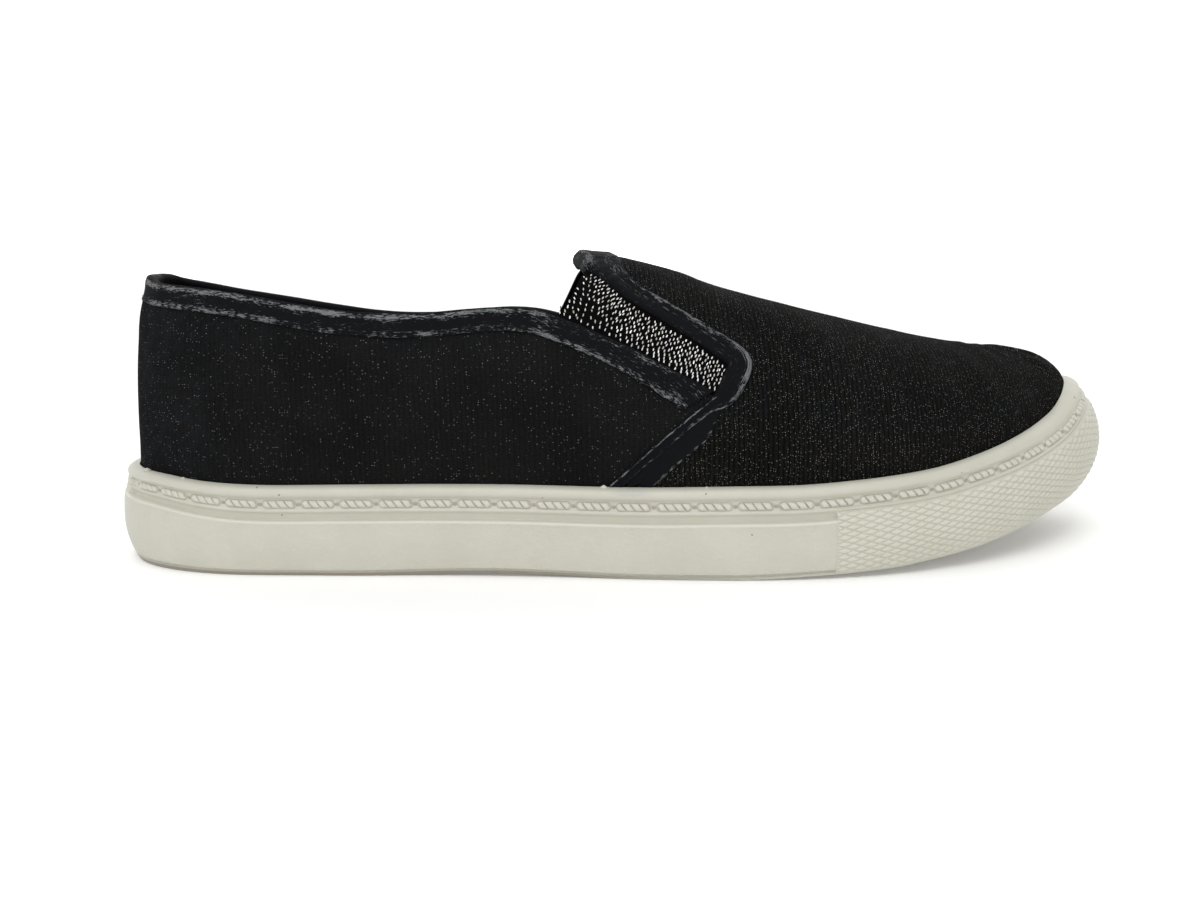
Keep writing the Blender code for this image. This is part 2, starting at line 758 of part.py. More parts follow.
def add_collar_binding(parts, material):
    """From the outer elastic's end back round the heel to the inner elastic's end."""
    margin = (3 * CLEARANCE + STEP_EDGE) / OUTLINE_REACH
    end = around_where(lambda place: place - tape_line(lower_edge(place)) + margin, 0.0)
    half = [place for place in AROUND if place < end - LAST_CELL]
    half.append(end)
    around = np.array([-place for place in reversed(half[1:])] + half)
    up = lower_edge(around)
    nearness = np.clip(1 - (end - np.abs(around)) / COLLAR_SHEAR_REACH, 0, 1) ** 2
    shear = -COLLAR_SHEAR * nearness * np.sign(around)
    profiles = [binding_profile(BINDING_WIDTH, 0)] * len(around)
    rings = strip_rings(around, up, -1, profiles, shear)
    return add_strip("collar_binding", material, rings, parts)


def add_vamp_binding(parts, material):
    """Up the outer edge of the vamp, over the throat and down the inner edge."""
    throat = AROUND[THROAT_STATION]
    end = AROUND[GORE_END_STATION]
    corner = float(upper_edge(throat))
    side = [place for place in AROUND if throat < place < end - LAST_CELL]
    side.append(end - CLEARANCE / OUTLINE_REACH)
    rise = [corner + (1 - corner) * row / VAMP_ROWS for row in range(VAMP_ROWS + 1)]
    around = list(reversed(side)) + [throat] * len(rise)
    around += [1 - throat] * VAMP_ROWS + [1 - place for place in side]
    twin_corner = float(upper_edge(1 - throat))
    fall = [twin_corner + (1 - twin_corner) * row / VAMP_ROWS for row in range(VAMP_ROWS)]
    up = [float(upper_edge(place)) for place in reversed(side)] + rise
    up += list(reversed(fall)) + [float(upper_edge(1 - place)) for place in side]
    around = np.array(around)
    up = np.array(up)
    middle = len(side) + VAMP_ROWS
    puff = np.clip(1 - np.abs(np.arange(len(around)) - middle) / (VAMP_ROWS - 1), 0, 1)
    puff = puff * puff * (3 - 2 * puff)
    profiles = []
    for share in puff:
        width = VAMP_BINDING_WIDTH + (THROAT_BINDING_WIDTH - VAMP_BINDING_WIDTH) * share
        profiles.append(binding_profile(width, THROAT_PAD * share, BOWED_CLEARANCE))
    rings = strip_rings(around, up, -1, profiles)
    return add_strip("vamp_binding", material, rings, parts)


def add_tape(name, material, inner, parts):
    """The flat tape along the vamp's rear edge, from the sole up to the elastic's end."""
    corner = around_where(lambda place: place - tape_line(lower_edge(place)), 0.0)
    low = float(lower_edge(corner))
    top = float(upper_edge(AROUND[GORE_END_STATION])) - TAPE_STOP
    bend = np.linspace(TAPE_START, low, TAPE_CELLS_LOW + 1)
    up = np.concatenate([bend, np.linspace(low, top, TAPE_CELLS_HIGH + 1)[1:]])
    around = tape_line(np.minimum(up, low))
    shift = (CLEARANCE + STEP_EDGE) / OUTLINE_REACH
    around = around + np.where(up > low, shift * 2, 0)
    side = -1 if inner else 1
    around = 1 - around if inner else around
    base = CLEARANCE
    top = CLEARANCE + BINDING_WALL
    half = TAPE_WIDTH / 2
    profile = [(0, base), (0, top), (half, top), (TAPE_WIDTH, top), (TAPE_WIDTH, base), (half, base)]
    rings = strip_rings(around, up, -side, [profile] * len(up))
    return add_strip(name, material, rings, parts)


def add_gore(name, material, inner, parts):
    """The elastic between the quarter's binding and the vamp's."""
    margin = CLEARANCE + BINDING_WALL + BOWED_CLEARANCE
    rear = around_where(rib_foot, GORE_REAR_FOOT)
    throat = AROUND[THROAT_STATION]
    end = AROUND[GORE_END_STATION] - CLEARANCE / OUTLINE_REACH * 2
    rows = []
    for share in np.linspace(0, 1, GORE_CELLS_UP + 1):
        start = rear + (throat - rear) * share
        around = start + (end - start) * np.linspace(0, 1, GORE_CELLS_ALONG + 1)
        around = 1 - around if inner else around
        low = lower_edge(around)
        high = upper_edge(around)
        upward = last_point(around, high) - last_point(around, low)
        height = np.linalg.norm(upward, axis=-1)
        slants = [(upward * path_inward(around, edge, 1)).sum(-1) / height for edge in (low, high)]
        below, above = [margin / np.maximum(np.abs(slant), SLANT_LIMIT) / height for slant in slants]
        level = low + (high - low) * (below + (1 - below - above) * share)
        rows.append((around, level))
    faces = []
    middle = -UPPER_WALL / 2
    for height in (middle - GORE_WALL / 2, middle + GORE_WALL / 2):
        faces.append([last_point(a, u) + last_normal(a, u) * height for a, u in rows])
    below, above = np.array(faces)
    surfaces = Surfaces()
    surfaces.grid(below)
    surfaces.grid(above)
    for edge in (lambda g: g[0], lambda g: g[-1], lambda g: g[:, 0], lambda g: g[:, -1]):
        surfaces.grid([edge(below), edge(above)])
    return add_solid(name, material, surfaces.points, surfaces.faces, parts)


def main():
    for thing in list(bpy.data.objects):
        bpy.data.objects.remove(thing)
    parts = bpy.data.collections.new("slip_on_sneaker")
    cutters = bpy.data.collections.new("cutters")
    bpy.context.scene.collection.children.link(parts)
    bpy.context.scene.collection.children.link(cutters)
    add_sole(parts, cutters)
    add_upper(parts)
    add_insole(parts)
    suede = add_material("binding_suede", (0.022, 0.021, 0.022), 0.8)
    elastic = add_material("gore_elastic", (0.09, 0.09, 0.095), 0.75)
    add_collar_binding(parts, suede)
    add_vamp_binding(parts, suede)
    for name, inner in (("outer", False), ("inner", True)):
        add_tape("vamp_tape_" + name, suede, inner, parts)
        add_gore("gore_" + name, elastic, inner, parts)


main()
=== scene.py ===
"""The looks of a slip-on sneaker, on the frame of its solids.

The surface of the last is written here again, with the same named sizes as the solids, so that
every piece lies where they are. A place on it is (around, up): around runs from 0 at the heel's
back along the outer side to 0.5 at the toe and back along the inner side, and up from 0 at the
sole's rim to 1 at the ridge. Lengths are in metres unless a comment says millimetres.
"""

import math

import bmesh
import bpy
import numpy as np
from mathutils import Matrix, Vector


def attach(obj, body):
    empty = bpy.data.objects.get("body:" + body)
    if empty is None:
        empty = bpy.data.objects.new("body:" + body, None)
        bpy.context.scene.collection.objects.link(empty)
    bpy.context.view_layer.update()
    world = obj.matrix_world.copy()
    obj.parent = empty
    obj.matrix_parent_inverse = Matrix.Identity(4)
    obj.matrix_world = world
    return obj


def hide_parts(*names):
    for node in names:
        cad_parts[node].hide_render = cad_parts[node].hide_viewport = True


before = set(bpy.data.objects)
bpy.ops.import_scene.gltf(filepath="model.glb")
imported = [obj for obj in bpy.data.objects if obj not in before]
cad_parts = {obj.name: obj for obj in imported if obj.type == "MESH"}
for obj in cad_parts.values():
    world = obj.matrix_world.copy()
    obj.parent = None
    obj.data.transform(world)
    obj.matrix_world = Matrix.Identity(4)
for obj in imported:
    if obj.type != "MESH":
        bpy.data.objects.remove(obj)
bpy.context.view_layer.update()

# Fineness of the visible meshes
HALF_STATIONS = 225
WINDOW_CELLS = 34
CUP_ROWS = 3
QUARTER_ROWS = 32
BAND_ROWS = 4
VAMP_ROWS = 34
SOLE_STATIONS = 1300
OUTLINE_MARKS = 1200
CLOSEST_STATIONS = 0.45
LAST_CELL = 0.0006

# Driving sizes of the shoe
LENGTH = 0.268
BALL_WIDTH = 0.094
RIM_HEIGHT = 0.023
TOE_RIM_HEIGHT = 0.042
TOE_SPRING = 0.0102
ARCH_LIFT = 0.0008
COLLAR_HEIGHT = 0.0738
THROAT_HEIGHT = 0.0770
INNER_COLLAR_DROP = 0.0032

# Sole
CUP_FLOOR = 0.0100
CUP_WALL = 0.0030
TOE_LEAN = 0.0065
EDGE_TUCK = 0.0012
TOE_TUCK = 0.0062
PATCH_START = 0.689
STEP_EDGE = 0.0003
GROOVE_WIDTH = 0.0022
GROOVE_DEPTH = 0.0014
GROOVE_PITCH = 0.0092
GROOVE_BORDER = 0.0085
TREAD_START = 0.05
TREAD_END = 0.93

# Upper and what is sewn to it
CLEARANCE = 0.0003
UPPER_WALL = 0.0015
GORE_WALL = 0.0011
BINDING_WIDTH = 0.0057
THROAT_BINDING_WIDTH = 0.0092
BINDING_WALL = 0.0006
THROAT_PAD = 0.0009
TAPE_WIDTH = 0.0070
INSOLE_THICKNESS = 0.0040

# The sole's outline: place along its length, and across it as a share of the ball's width
OUTER_SIDE = [
    (0, 0.006), (0.0075, -0.106), (0.03, -0.202), (0.065, -0.272), (0.11, -0.32), (0.215, -0.362),
    (0.33, -0.389), (0.44, -0.429), (0.55, -0.479), (0.66, -0.502), (0.76, -0.469), (0.86, -0.364),
    (0.935, -0.209), (0.98, -0.069),
]
INNER_SIDE = [
    (1, 0.091), (0.986, 0.241), (0.95, 0.346), (0.895, 0.431), (0.8, 0.489), (0.69, 0.496),
    (0.58, 0.446), (0.46, 0.356), (0.34, 0.311), (0.215, 0.328), (0.11, 0.314), (0.065, 0.274),
    (0.03, 0.208), (0.0075, 0.116),
]

# Rows: place along the length, rim, spring, arch, lean. Rim: share of the rise from the waist to
# the toe's tip. Spring: share of the toe spring. Arch: share of the lift. Lean: share of the inward
# lean of the toe's wall.
SOLE = [
    (0, 0.11, 0, 0, 0.24), (0.063, 0.084, 0, 0, 0.08), (0.1, 0.035, 0, 0, 0), (0.15, 0, 0, 0, 0),
    (0.25, 0, 0, 0, 0), (0.39, 0, 0, 1, 0), (0.5, -0.02, 0, 0, 0), (0.6, 0, 0, 0, 0),
    (0.67, 0.015, 0.08, 0, 0), (0.71, 0.048, 0.13, 0, 0), (0.75, 0.088, 0.2, 0, 0.02),
    (0.79, 0.145, 0.32, 0, 0.08), (0.83, 0.245, 0.45, 0, 0.17), (0.875, 0.375, 0.64, 0, 0.33),
    (0.92, 0.525, 0.82, 0, 0.55), (0.945, 0.625, 0.9, 0, 0.7), (0.97, 0.79, 0.96, 0, 0.86),
    (1, 0.985, 1, 0, 1),
]

# Rows: foot, ridge, across, height, square. Foot is the place along the rim where a rib starts,
# ridge and across the place where it ends. Height is a share of the throat's height, and square the
# exponent of the rib's rounded corner: 2 is an ellipse, more is squarer.
RIBS = [
    (0.012, 0.15, 0.006, 1.264, 2.5), (0.09, 0.16, 0.011, 1.259, 2.6),
    (0.165, 0.19, 0.016, 1.249, 2.8), (0.275, 0.262, 0.021, 1.203, 3),
    (0.39, 0.378, 0.031, 1.121, 3), (0.48, 0.465, 0.041, 1, 3), (0.504, 0.49, 0.041, 1.003, 3),
    (0.53, 0.518, 0.041, 0.987, 2.9), (0.572, 0.562, 0.04, 0.941, 2.8),
    (0.612, 0.604, 0.038, 0.889, 2.7), (0.65, 0.645, 0.038, 0.848, 2.6),
    (0.73, 0.728, 0.038, 0.772, 2.3), (0.81, 0.8, 0.042, 0.71, 2.1),
    (0.885, 0.852, 0.051, 0.675, 1.9), (0.965, 0.873, 0.061, 0.665, 1.75),
]

# Rows: foot, lower, upper, dip. Lower is the bound edge of the quarters: the collar, then the
# elastic's lower edge, as a share of the collar's height. Upper is the vamp's bound edge over the
# elastic, as a share of the throat's height. Dip is the share by which the inner collar lies lower.
EDGES = [
    (0.012, 1, 0.963, 0), (0.04, 0.99, 0.963, 0.2), (0.1, 0.973, 0.963, 0.8),
    (0.155, 0.948, 0.963, 1), (0.205, 0.916, 0.963, 1), (0.245, 0.894, 0.963, 1),
    (0.285, 0.883, 0.963, 1), (0.32, 0.883, 0.963, 1), (0.36, 0.893, 0.963, 1),
    (0.395, 0.897, 0.963, 1), (0.42, 0.888, 0.963, 1), (0.45, 0.85, 0.963, 0.8),
    (0.48, 0.803, 0.955, 0.5), (0.506, 0.76, 0.876, 0.3), (0.534, 0.702, 0.812, 0.1),
    (0.56, 0.65, 0.752, 0), (0.584, 0.603, 0.689, 0), (0.62, 0.572, 0.637, 0),
    (0.7, 0.53, 0.571, 0), (0.8, 0.49, 0.526, 0), (0.9, 0.515, 0.545, 0), (0.965, 0.603, 0.615, 0),
]
THROAT_FOOT = 0.478
GORE_END_FOOT = 0.584
GORE_REAR_FOOT = 0.440

# The vamp's rear edge over the quarter: its place around the shoe at the rim, and how far it leans
# forward up a rib
TAPE_FOOT = 0.2385
TAPE_SLOPE = 0.158

# The collar binding's ends are cut on a slant, to lie along the tape: the slant and its start
COLLAR_SHEAR = 1.3
COLLAR_SHEAR_REACH = 0.04


def smooth_curve(places, values, closed=False):
    """A function for the smooth curve through the values at these places."""
    places = np.asarray(places, float)
    values = np.asarray(values, float)
    steps = np.diff(places)
    slopes = np.diff(values, axis=0) / (steps[:, None] if values.ndim > 1 else steps)
    weights = steps if values.ndim == 1 else steps[:, None]
    inner = (slopes[:-1] * weights[1:] + slopes[1:] * weights[:-1]) / (weights[:-1] + weights[1:])
    if closed:
        ends = (slopes[-1] * weights[0] + slopes[0] * weights[-1]) / (weights[0] + weights[-1])
        tangents = np.concatenate([[ends], inner, [ends]])
    else:
        tangents = np.concatenate([slopes[:1], inner, slopes[-1:]])

    def at(place):
        place = np.clip(np.asarray(place, float), places[0], places[-1])
        left = np.clip(np.searchsorted(places, place, side="right") - 1, 0, len(steps) - 1)
        step = steps[left]
        share = (place - places[left]) / step
        if values.ndim > 1:
            share = share[..., None]
            step = step[..., None]
        bend = share * share * (3 - 2 * share)
        return (
            values[left] * (1 - bend)
            + values[left + 1] * bend
            + step * share * (1 - share) ** 2 * tangents[left]
            - step * share * share * (1 - share) * tangents[left + 1]
        )

    return at


def curves(rows):
    """A smooth curve for each column of a table after the first, which holds their places."""
    places, *columns = zip(*rows)
    return [smooth_curve(places, values) for values in columns]


def lengths_along(points):
    """The length of a line of points up to each of them, or of several lines side by side."""
    steps = np.linalg.norm(np.diff(points, axis=0), axis=-1)
    return np.concatenate([0 * steps[:1], np.cumsum(steps, axis=0)])


def measured_outline():
    """The sole's outline in plan as a closed curve, with its length along each side."""
    rows = np.array(OUTER_SIDE + INNER_SIDE)
    plan = np.stack([rows[:, 0] * LENGTH - LENGTH / 2, rows[:, 1] * BALL_WIDTH], -1)
    plan = np.vstack([plan, plan[:1]])
    reach = lengths_along(plan)
    curve = smooth_curve(reach, plan, closed=True)
    toe = reach[len(OUTER_SIDE)]
    sides = []
    for start in (0, reach[-1]):
        marks = np.linspace(start, toe, OUTLINE_MARKS)
        run = lengths_along(curve(marks))
        sides.append((marks, run / run[-1], run[-1]))
    return curve, reach[-1], sides


OUTLINE_CURVE, OUTLINE_REACH, OUTLINE_SIDES = measured_outline()
RIM_SHARE, SPRING_SHARE, ARCH_SHARE, LEAN_SHARE = curves(SOLE)


def outline(around):
    """Plan points and outward normals of the sole's outline."""
    around = np.mod(np.asarray(around, float), 1.0)
    share = np.where(around <= 0.5, 2 * around, 2 - 2 * around)
    outer, inner = OUTLINE_SIDES
    mark = np.where(
        around <= 0.5,
        np.interp(share, outer[1], outer[0]),
        np.interp(share, inner[1], inner[0]),
    )
    nudge = OUTLINE_REACH * 5e-4
    ahead = OUTLINE_CURVE(np.mod(mark + nudge, OUTLINE_REACH))
    behind = OUTLINE_CURVE(np.mod(mark - nudge, OUTLINE_REACH))
    forward = ahead - behind
    forward /= np.linalg.norm(forward, axis=-1, keepdims=True)
    normal = np.stack([forward[..., 1], -forward[..., 0]], axis=-1)
    return OUTLINE_CURVE(mark), normal


def along_of(x):
    return x / LENGTH + 0.5


def rim_height(along):
    return RIM_HEIGHT + (TOE_RIM_HEIGHT - RIM_HEIGHT) * RIM_SHARE(along)


def ground_height(along):
    lift = TOE_SPRING * SPRING_SHARE(along) + ARCH_LIFT * ARCH_SHARE(along)
    return np.maximum(lift, 0)


def floor_height(along):
    return ground_height(along) + CUP_FLOOR


def wall_lean(along, height, under=True):
    """How far the sole's wall stands inside its outline at this height."""
    rim = rim_height(along)
    ground = ground_height(along)
    middle = (rim + ground) / 2
    above = np.clip((height - middle) / (rim - middle), 0, 1) ** 2
    below = np.clip((middle - height) / (middle - ground), 0, 1) ** 2
    lean = LEAN_SHARE(along)
    tuck = EDGE_TUCK + (TOE_TUCK - EDGE_TUCK) * lean
    return TOE_LEAN * lean * above + (tuck * below if under else 0)


def wall_point(around, height, inset, under=True):
    """A point of the sole's wall: inset from its outline, at this height, with the toe's lean."""
    plan, normal = outline(around)
    along = along_of(plan[..., 0])
    inset = inset + wall_lean(along, height, under)
    plan = plan - normal * np.asarray(inset)[..., None]
    return np.concatenate([plan, np.asarray(height)[..., None]], axis=-1)


RIDGE_PLACE, RIDGE_ACROSS, RIDGE_HEIGHT, RIDGE_SQUARE = curves(RIBS)
LOWER_EDGE, UPPER_EDGE, COLLAR_DIP = curves(EDGES)


def rib_foot(around):
    """The mean place along the length of this rib's foot and its twin's across the shoe."""
    here = outline(around)[0][..., 0]
    twin = outline(1 - np.asarray(around, float))[0][..., 0]
    return along_of((here + twin) / 2)


def rib_ends(around):
    plan = outline(around)[0]
    rim = rim_height(along_of(plan[..., 0]))
    start = wall_point(around, rim, CUP_WALL + CLEARANCE)
    foot = rib_foot(around)
    end = np.stack(
        [
            RIDGE_PLACE(foot) * LENGTH - LENGTH / 2,
            RIDGE_ACROSS(foot) * BALL_WIDTH,
            RIDGE_HEIGHT(foot) * THROAT_HEIGHT,
        ],
        axis=-1,
    )
    return start, end, RIDGE_SQUARE(foot)


def last_point(around, up):
    """A point of the last's surface."""
    start, end, square = rib_ends(around)
    angle = np.asarray(up) * math.pi / 2
    side = np.abs(np.cos(angle))
    top = np.abs(np.sin(angle))
    size = (side**square + top**square) ** (-1 / square)
    share = np.stack([1 - side * size, 1 - side * size, top * size], axis=-1)
    return start + (end - start) * share


def last_sheet(around, up):
    """Points of the last's surface, and its normals there."""
    return last_point(around, up), last_normal(around, up)


def last_normal(around, up):
    around = np.asarray(around, float)
    up = np.clip(np.asarray(up, float), 0.01, 0.985)
    across = last_point(around + 4e-4, up) - last_point(around - 4e-4, up)
    upward = last_point(around, up + 2e-3) - last_point(around, up - 2e-3)
    normal = np.cross(across, upward)
    return normal / np.linalg.norm(normal, axis=-1, keepdims=True)


def up_at_height(around, height):
    """Where a rib reaches this height."""
    start, end, square = rib_ends(around)
    top = np.clip((height - start[..., 2]) / (end[..., 2] - start[..., 2]), 0.02, 0.995)
    side = (1 - top**square) ** (1 / square)
    return np.arctan2(top, side) * 2 / math.pi


def lower_edge(around):
    """The fabric's edge inside the collar binding."""
    foot = rib_foot(around)
    drop = np.where(np.mod(around, 1.0) > 0.5, INNER_COLLAR_DROP, 0) * COLLAR_DIP(foot)
    height = LOWER_EDGE(foot) * COLLAR_HEIGHT - drop - CLEARANCE - BINDING_WALL
    return up_at_height(around, height)


def upper_edge(around):
    """The fabric's edge inside the vamp binding."""
    foot = rib_foot(around)
    return up_at_height(around, UPPER_EDGE(foot) * THROAT_HEIGHT + CLEARANCE + BINDING_WALL)


def around_where(measure, target, low=0.0, high=0.5):
    """The place on the outer side where a rising measure reaches the target."""
    for _ in range(40):
        middle = (low + high) / 2
        if measure(middle) < target:
            low = middle
        else:
            high = middle
    return (low + high) / 2


def stations():
    """Places around the rim, in pairs across the shoe, closer at the elastics' windows."""
    half = list(np.linspace(0, 0.5, HALF_STATIONS + 1))
    throat = around_where(rib_foot, THROAT_FOOT)
    gore_end = around_where(rib_foot, GORE_END_FOOT)
    marks = list(np.linspace(throat, gore_end, WINDOW_CELLS + 1))
    room = CLOSEST_STATIONS * 0.5 / HALF_STATIONS
    half = [
        place
        for place in half
        if place in (0, 0.5) or min(abs(place - mark) for mark in marks) > room
    ]
    half = sorted(half + marks)
    around = np.array(half + [1 - place for place in reversed(half[1:-1])])
    return around, half.index(marks[0]), half.index(marks[WINDOW_CELLS])


AROUND, THROAT_STATION, GORE_END_STATION = stations()
STATION_COUNT = len(AROUND)
PATCH_PLACE = around_where(lambda a: along_of(outline(a)[0][0]), PATCH_START)
PLATE_PLACE = 0.0262


def join_ridge(rows):
    """Makes the ridge's points the same on both sides of the shoe."""
    rows[-1] = (rows[-1] + np.roll(rows[-1][::-1], 1, axis=0)) / 2
    return rows


def upper_cells():
    """Which cells of the upper's grid hold fabric, by row and station."""
    from_heel = np.arange(STATION_COUNT)
    from_heel = np.minimum(from_heel, STATION_COUNT - from_heel)
    nearest = np.minimum(from_heel, np.roll(from_heel, -1))
    starts = (
        [0] * (CUP_ROWS + QUARTER_ROWS)
        + [GORE_END_STATION] * BAND_ROWS
        + [THROAT_STATION] * VAMP_ROWS
    )
    return nearest >= np.array(starts)[:, None]


def tape_line(up):
    """Where the vamp's rear edge crosses a rib at this height, as a place around the outer side."""
    return TAPE_FOOT + TAPE_SLOPE * np.asarray(up)


def surface_steps(around, up, direction):
    """The change of (around, up) for each metre moved along the surface in this direction."""
    first = (last_point(around + 5e-4, up) - last_point(around - 5e-4, up)) / 1e-3
    below = np.clip(up - 2e-3, 0, 1)
    above = np.clip(up + 2e-3, 0, 1)
    second = (last_point(around, above) - last_point(around, below)) / (above - below)[..., None]
    aa = (first * first).sum(-1)
    bb = (second * second).sum(-1)
    ab = (first * second).sum(-1)
    ad = (first * direction).sum(-1)
    bd = (second * direction).sum(-1)
    size = aa * bb - ab * ab
    return (ad * bb - bd * ab) / size, (bd * aa - ad * ab) / size


def path_inward(around, up, side):
    """Directions into the fabric along a path on the surface, mitred where the path turns."""
    points = last_point(around, up)
    normals = last_normal(around, up)
    runs = np.diff(points, axis=0)
    runs /= np.linalg.norm(runs, axis=-1, keepdims=True)
    before = np.concatenate([runs[:1], runs])
    after = np.concatenate([runs, runs[-1:]])
    first = np.cross(normals, before) * side
    second = np.cross(normals, after) * side
    return (first + second) / (1 + (first * second).sum(-1, keepdims=True))


def strip_rings(around, up, side, profiles, shear=None):
    """Rings of a strip that follows a path on the surface.

    A profile's points are (inward, outward): the distance from the path into the fabric and the
    height over its face. Shear moves a point around the shoe for each metre inward.
    """
    inward = path_inward(around, up, side)
    step_around, step_up = surface_steps(around, up, inward)
    if shear is not None:
        step_around = step_around + shear
    rings = []
    for place in range(len(profiles[0])):
        depth = np.array([profile[place][0] for profile in profiles])
        height = np.array([profile[place][1] for profile in profiles])
        here = around + depth * step_around
        level = up + depth * step_up
        rings.append(last_point(here, level) + last_normal(here, level) * height[:, None])
    return np.array(rings)


OUTER_REACH = OUTLINE_SIDES[0][2]
INNER_REACH = OUTLINE_SIDES[1][2]
WHOLE_REACH = OUTER_REACH + INNER_REACH


def arc_of(around):
    """The length along the outline from the heel's back, over the outer side and the toe."""
    around = np.asarray(around, float)
    outer = around * 2 * OUTER_REACH
    return np.where(around <= 0.5, outer, OUTER_REACH + (around - 0.5) * 2 * INNER_REACH)


def around_of(arc):
    arc = np.asarray(arc, float)
    inner = 0.5 + (arc - OUTER_REACH) / (2 * INNER_REACH)
    return np.where(arc <= OUTER_REACH, arc / (2 * OUTER_REACH), inner)


def line_at(marks, run, line):
    """The points of a line at these lengths along it."""
    return np.stack([np.interp(marks, run, values) for values in line.T], -1)


def step_curve(low, high, value):
    """From 0 to 1 as the value goes from low to high, smoothly."""
    share = np.clip((np.asarray(value, float) - low) / (high - low), 0, 1)
    return share * share * (3 - 2 * share)


def paired_lines(ring, rungs):
    """Lines between the points of a ring that are in pairs across the shoe."""
    count = len(ring)
    shares = np.linspace(0, 1, rungs + 1)[:, None]
    lines = [ring[i] + (ring[-i % count] - ring[i]) * shares for i in range(count // 2 + 1)]
    return np.array(lines)


def add_object(name, data):
    thing = bpy.data.objects.new(name, data)
    bpy.context.scene.collection.objects.link(thing)
    return thing


class Skin:
    """Collects grids of points for one piece, with a flat place for each point and a material."""

    def __init__(self):
        self.points = []
        self.flats = []
        self.quads = []
        self.slots = []
        self.tones = []
        self.count = 0

    def grid(self, rows, flats=None, slot=0, keep=None, tone=None):
        rows = np.asarray(rows, float)
        height, width = rows.shape[:2]
        index = self.count + np.arange(height * width).reshape(height, width)
        quads = np.stack([index[:-1, :-1], index[:-1, 1:], index[1:, 1:], index[1:, :-1]], -1)
        slots = np.broadcast_to(np.asarray(slot), (height - 1, width - 1))
        keep = np.ones((height - 1, width - 1), bool) if keep is None else keep
        self.points.append(rows.reshape(-1, 3))
        flats = np.zeros((height, width, 2)) if flats is None else flats
        self.flats.append(np.broadcast_to(flats, (height, width, 2)).reshape(-1, 2))
        tone = np.zeros((height, width)) if tone is None else tone
        self.tones.append(np.broadcast_to(tone, (height, width)).reshape(-1))
        self.quads.append(quads[keep])
        self.slots.append(slots[keep])
        self.count += height * width
        return index

    def cap(self, ring, rungs):
        """Faces across a ring whose points are in pairs across the shoe."""
        lines = paired_lines(ring, rungs)
        self.grid(lines, lines[..., :2])

    def piece(self, name, materials, weld=2e-6, sharp=50, ride=True):
        """The collected grids as one object, with near points made one."""
        points = np.concatenate(self.points)
        quads = np.concatenate(self.quads)
        mesh = bpy.data.meshes.new(name)
        mesh.vertices.add(len(points))
        mesh.vertices.foreach_set("co", points.astype(np.float32).ravel())
        mesh.loops.add(quads.size)
        mesh.loops.foreach_set("vertex_index", quads.astype(np.int32).ravel())
        mesh.polygons.add(len(quads))
        mesh.polygons.foreach_set("loop_start", np.arange(0, quads.size, 4, dtype=np.int32))
        mesh.polygons.foreach_set("material_index", np.concatenate(self.slots).astype(np.int32))
        mesh.update(calc_edges=True)
        flat = mesh.uv_layers.new(name="cloth")
        flats = np.concatenate(self.flats)[quads.ravel()]
        flat.data.foreach_set("uv", flats.astype(np.float32).ravel())
        tone = mesh.attributes.new("tone", "FLOAT", "POINT")
        tone.data.foreach_set("value", np.concatenate(self.tones).astype(np.float32))
        work = bmesh.new()
        work.from_mesh(mesh)
        bmesh.ops.remove_doubles(work, verts=work.verts[:], dist=weld)
        bmesh.ops.dissolve_degenerate(work, edges=work.edges[:], dist=1e-7)
        loose = [vert for vert in work.verts if not vert.link_faces]
        bmesh.ops.delete(work, geom=loose, context="VERTS")
        bmesh.ops.recalc_face_normals(work, faces=work.faces[:])
        work.to_mesh(mesh)
        work.free()
        mesh.shade_smooth()
        mesh.set_sharp_from_angle(angle=math.radians(sharp))
        for material in materials:
            mesh.materials.append(material)
        thing = add_object(name, mesh)
        if ride:
            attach(thing, "root")
        return thing


# Materials
def operator(operation, swapped=False):
    return lambda self, other=0.0: self.maths(operation, other, swapped)


class Value:
    """What a node gives out. Sums, products and the like of it add math nodes."""

    def __init__(self, look, socket):
        self.look = look
        self.socket = socket

    def maths(self, operation, other=0.0, swapped=False):
        pair = (other, self) if swapped else (self, other)
        return self.look.node("ShaderNodeMath", dict(enumerate(pair)), operation=operation)

    __add__ = __radd__ = operator("ADD")
    __mul__ = __rmul__ = operator("MULTIPLY")
    __sub__ = operator("SUBTRACT")
    __rsub__ = operator("SUBTRACT", swapped=True)
    __truediv__ = operator("DIVIDE")
    __mod__ = operator("MODULO")
    __pow__ = operator("POWER")
    __gt__ = operator("GREATER_THAN")
    __abs__ = operator("ABSOLUTE")

    def other(self, output):
        """Another output of the same node."""
        return Value(self.look, self.socket.node.outputs[output])

    def ramp(self, low, high, start=0.0, end=1.0):
        """The value moved from low..high to start..end, smoothly and without going past."""
        inputs = {"Value": self, "From Min": low, "From Max": high, "To Min": start, "To Max": end}
        return self.look.node("ShaderNodeMapRange", inputs, interpolation_type="SMOOTHSTEP")


def rgb(red, green, blue):
    return (red, green, blue, 1.0)


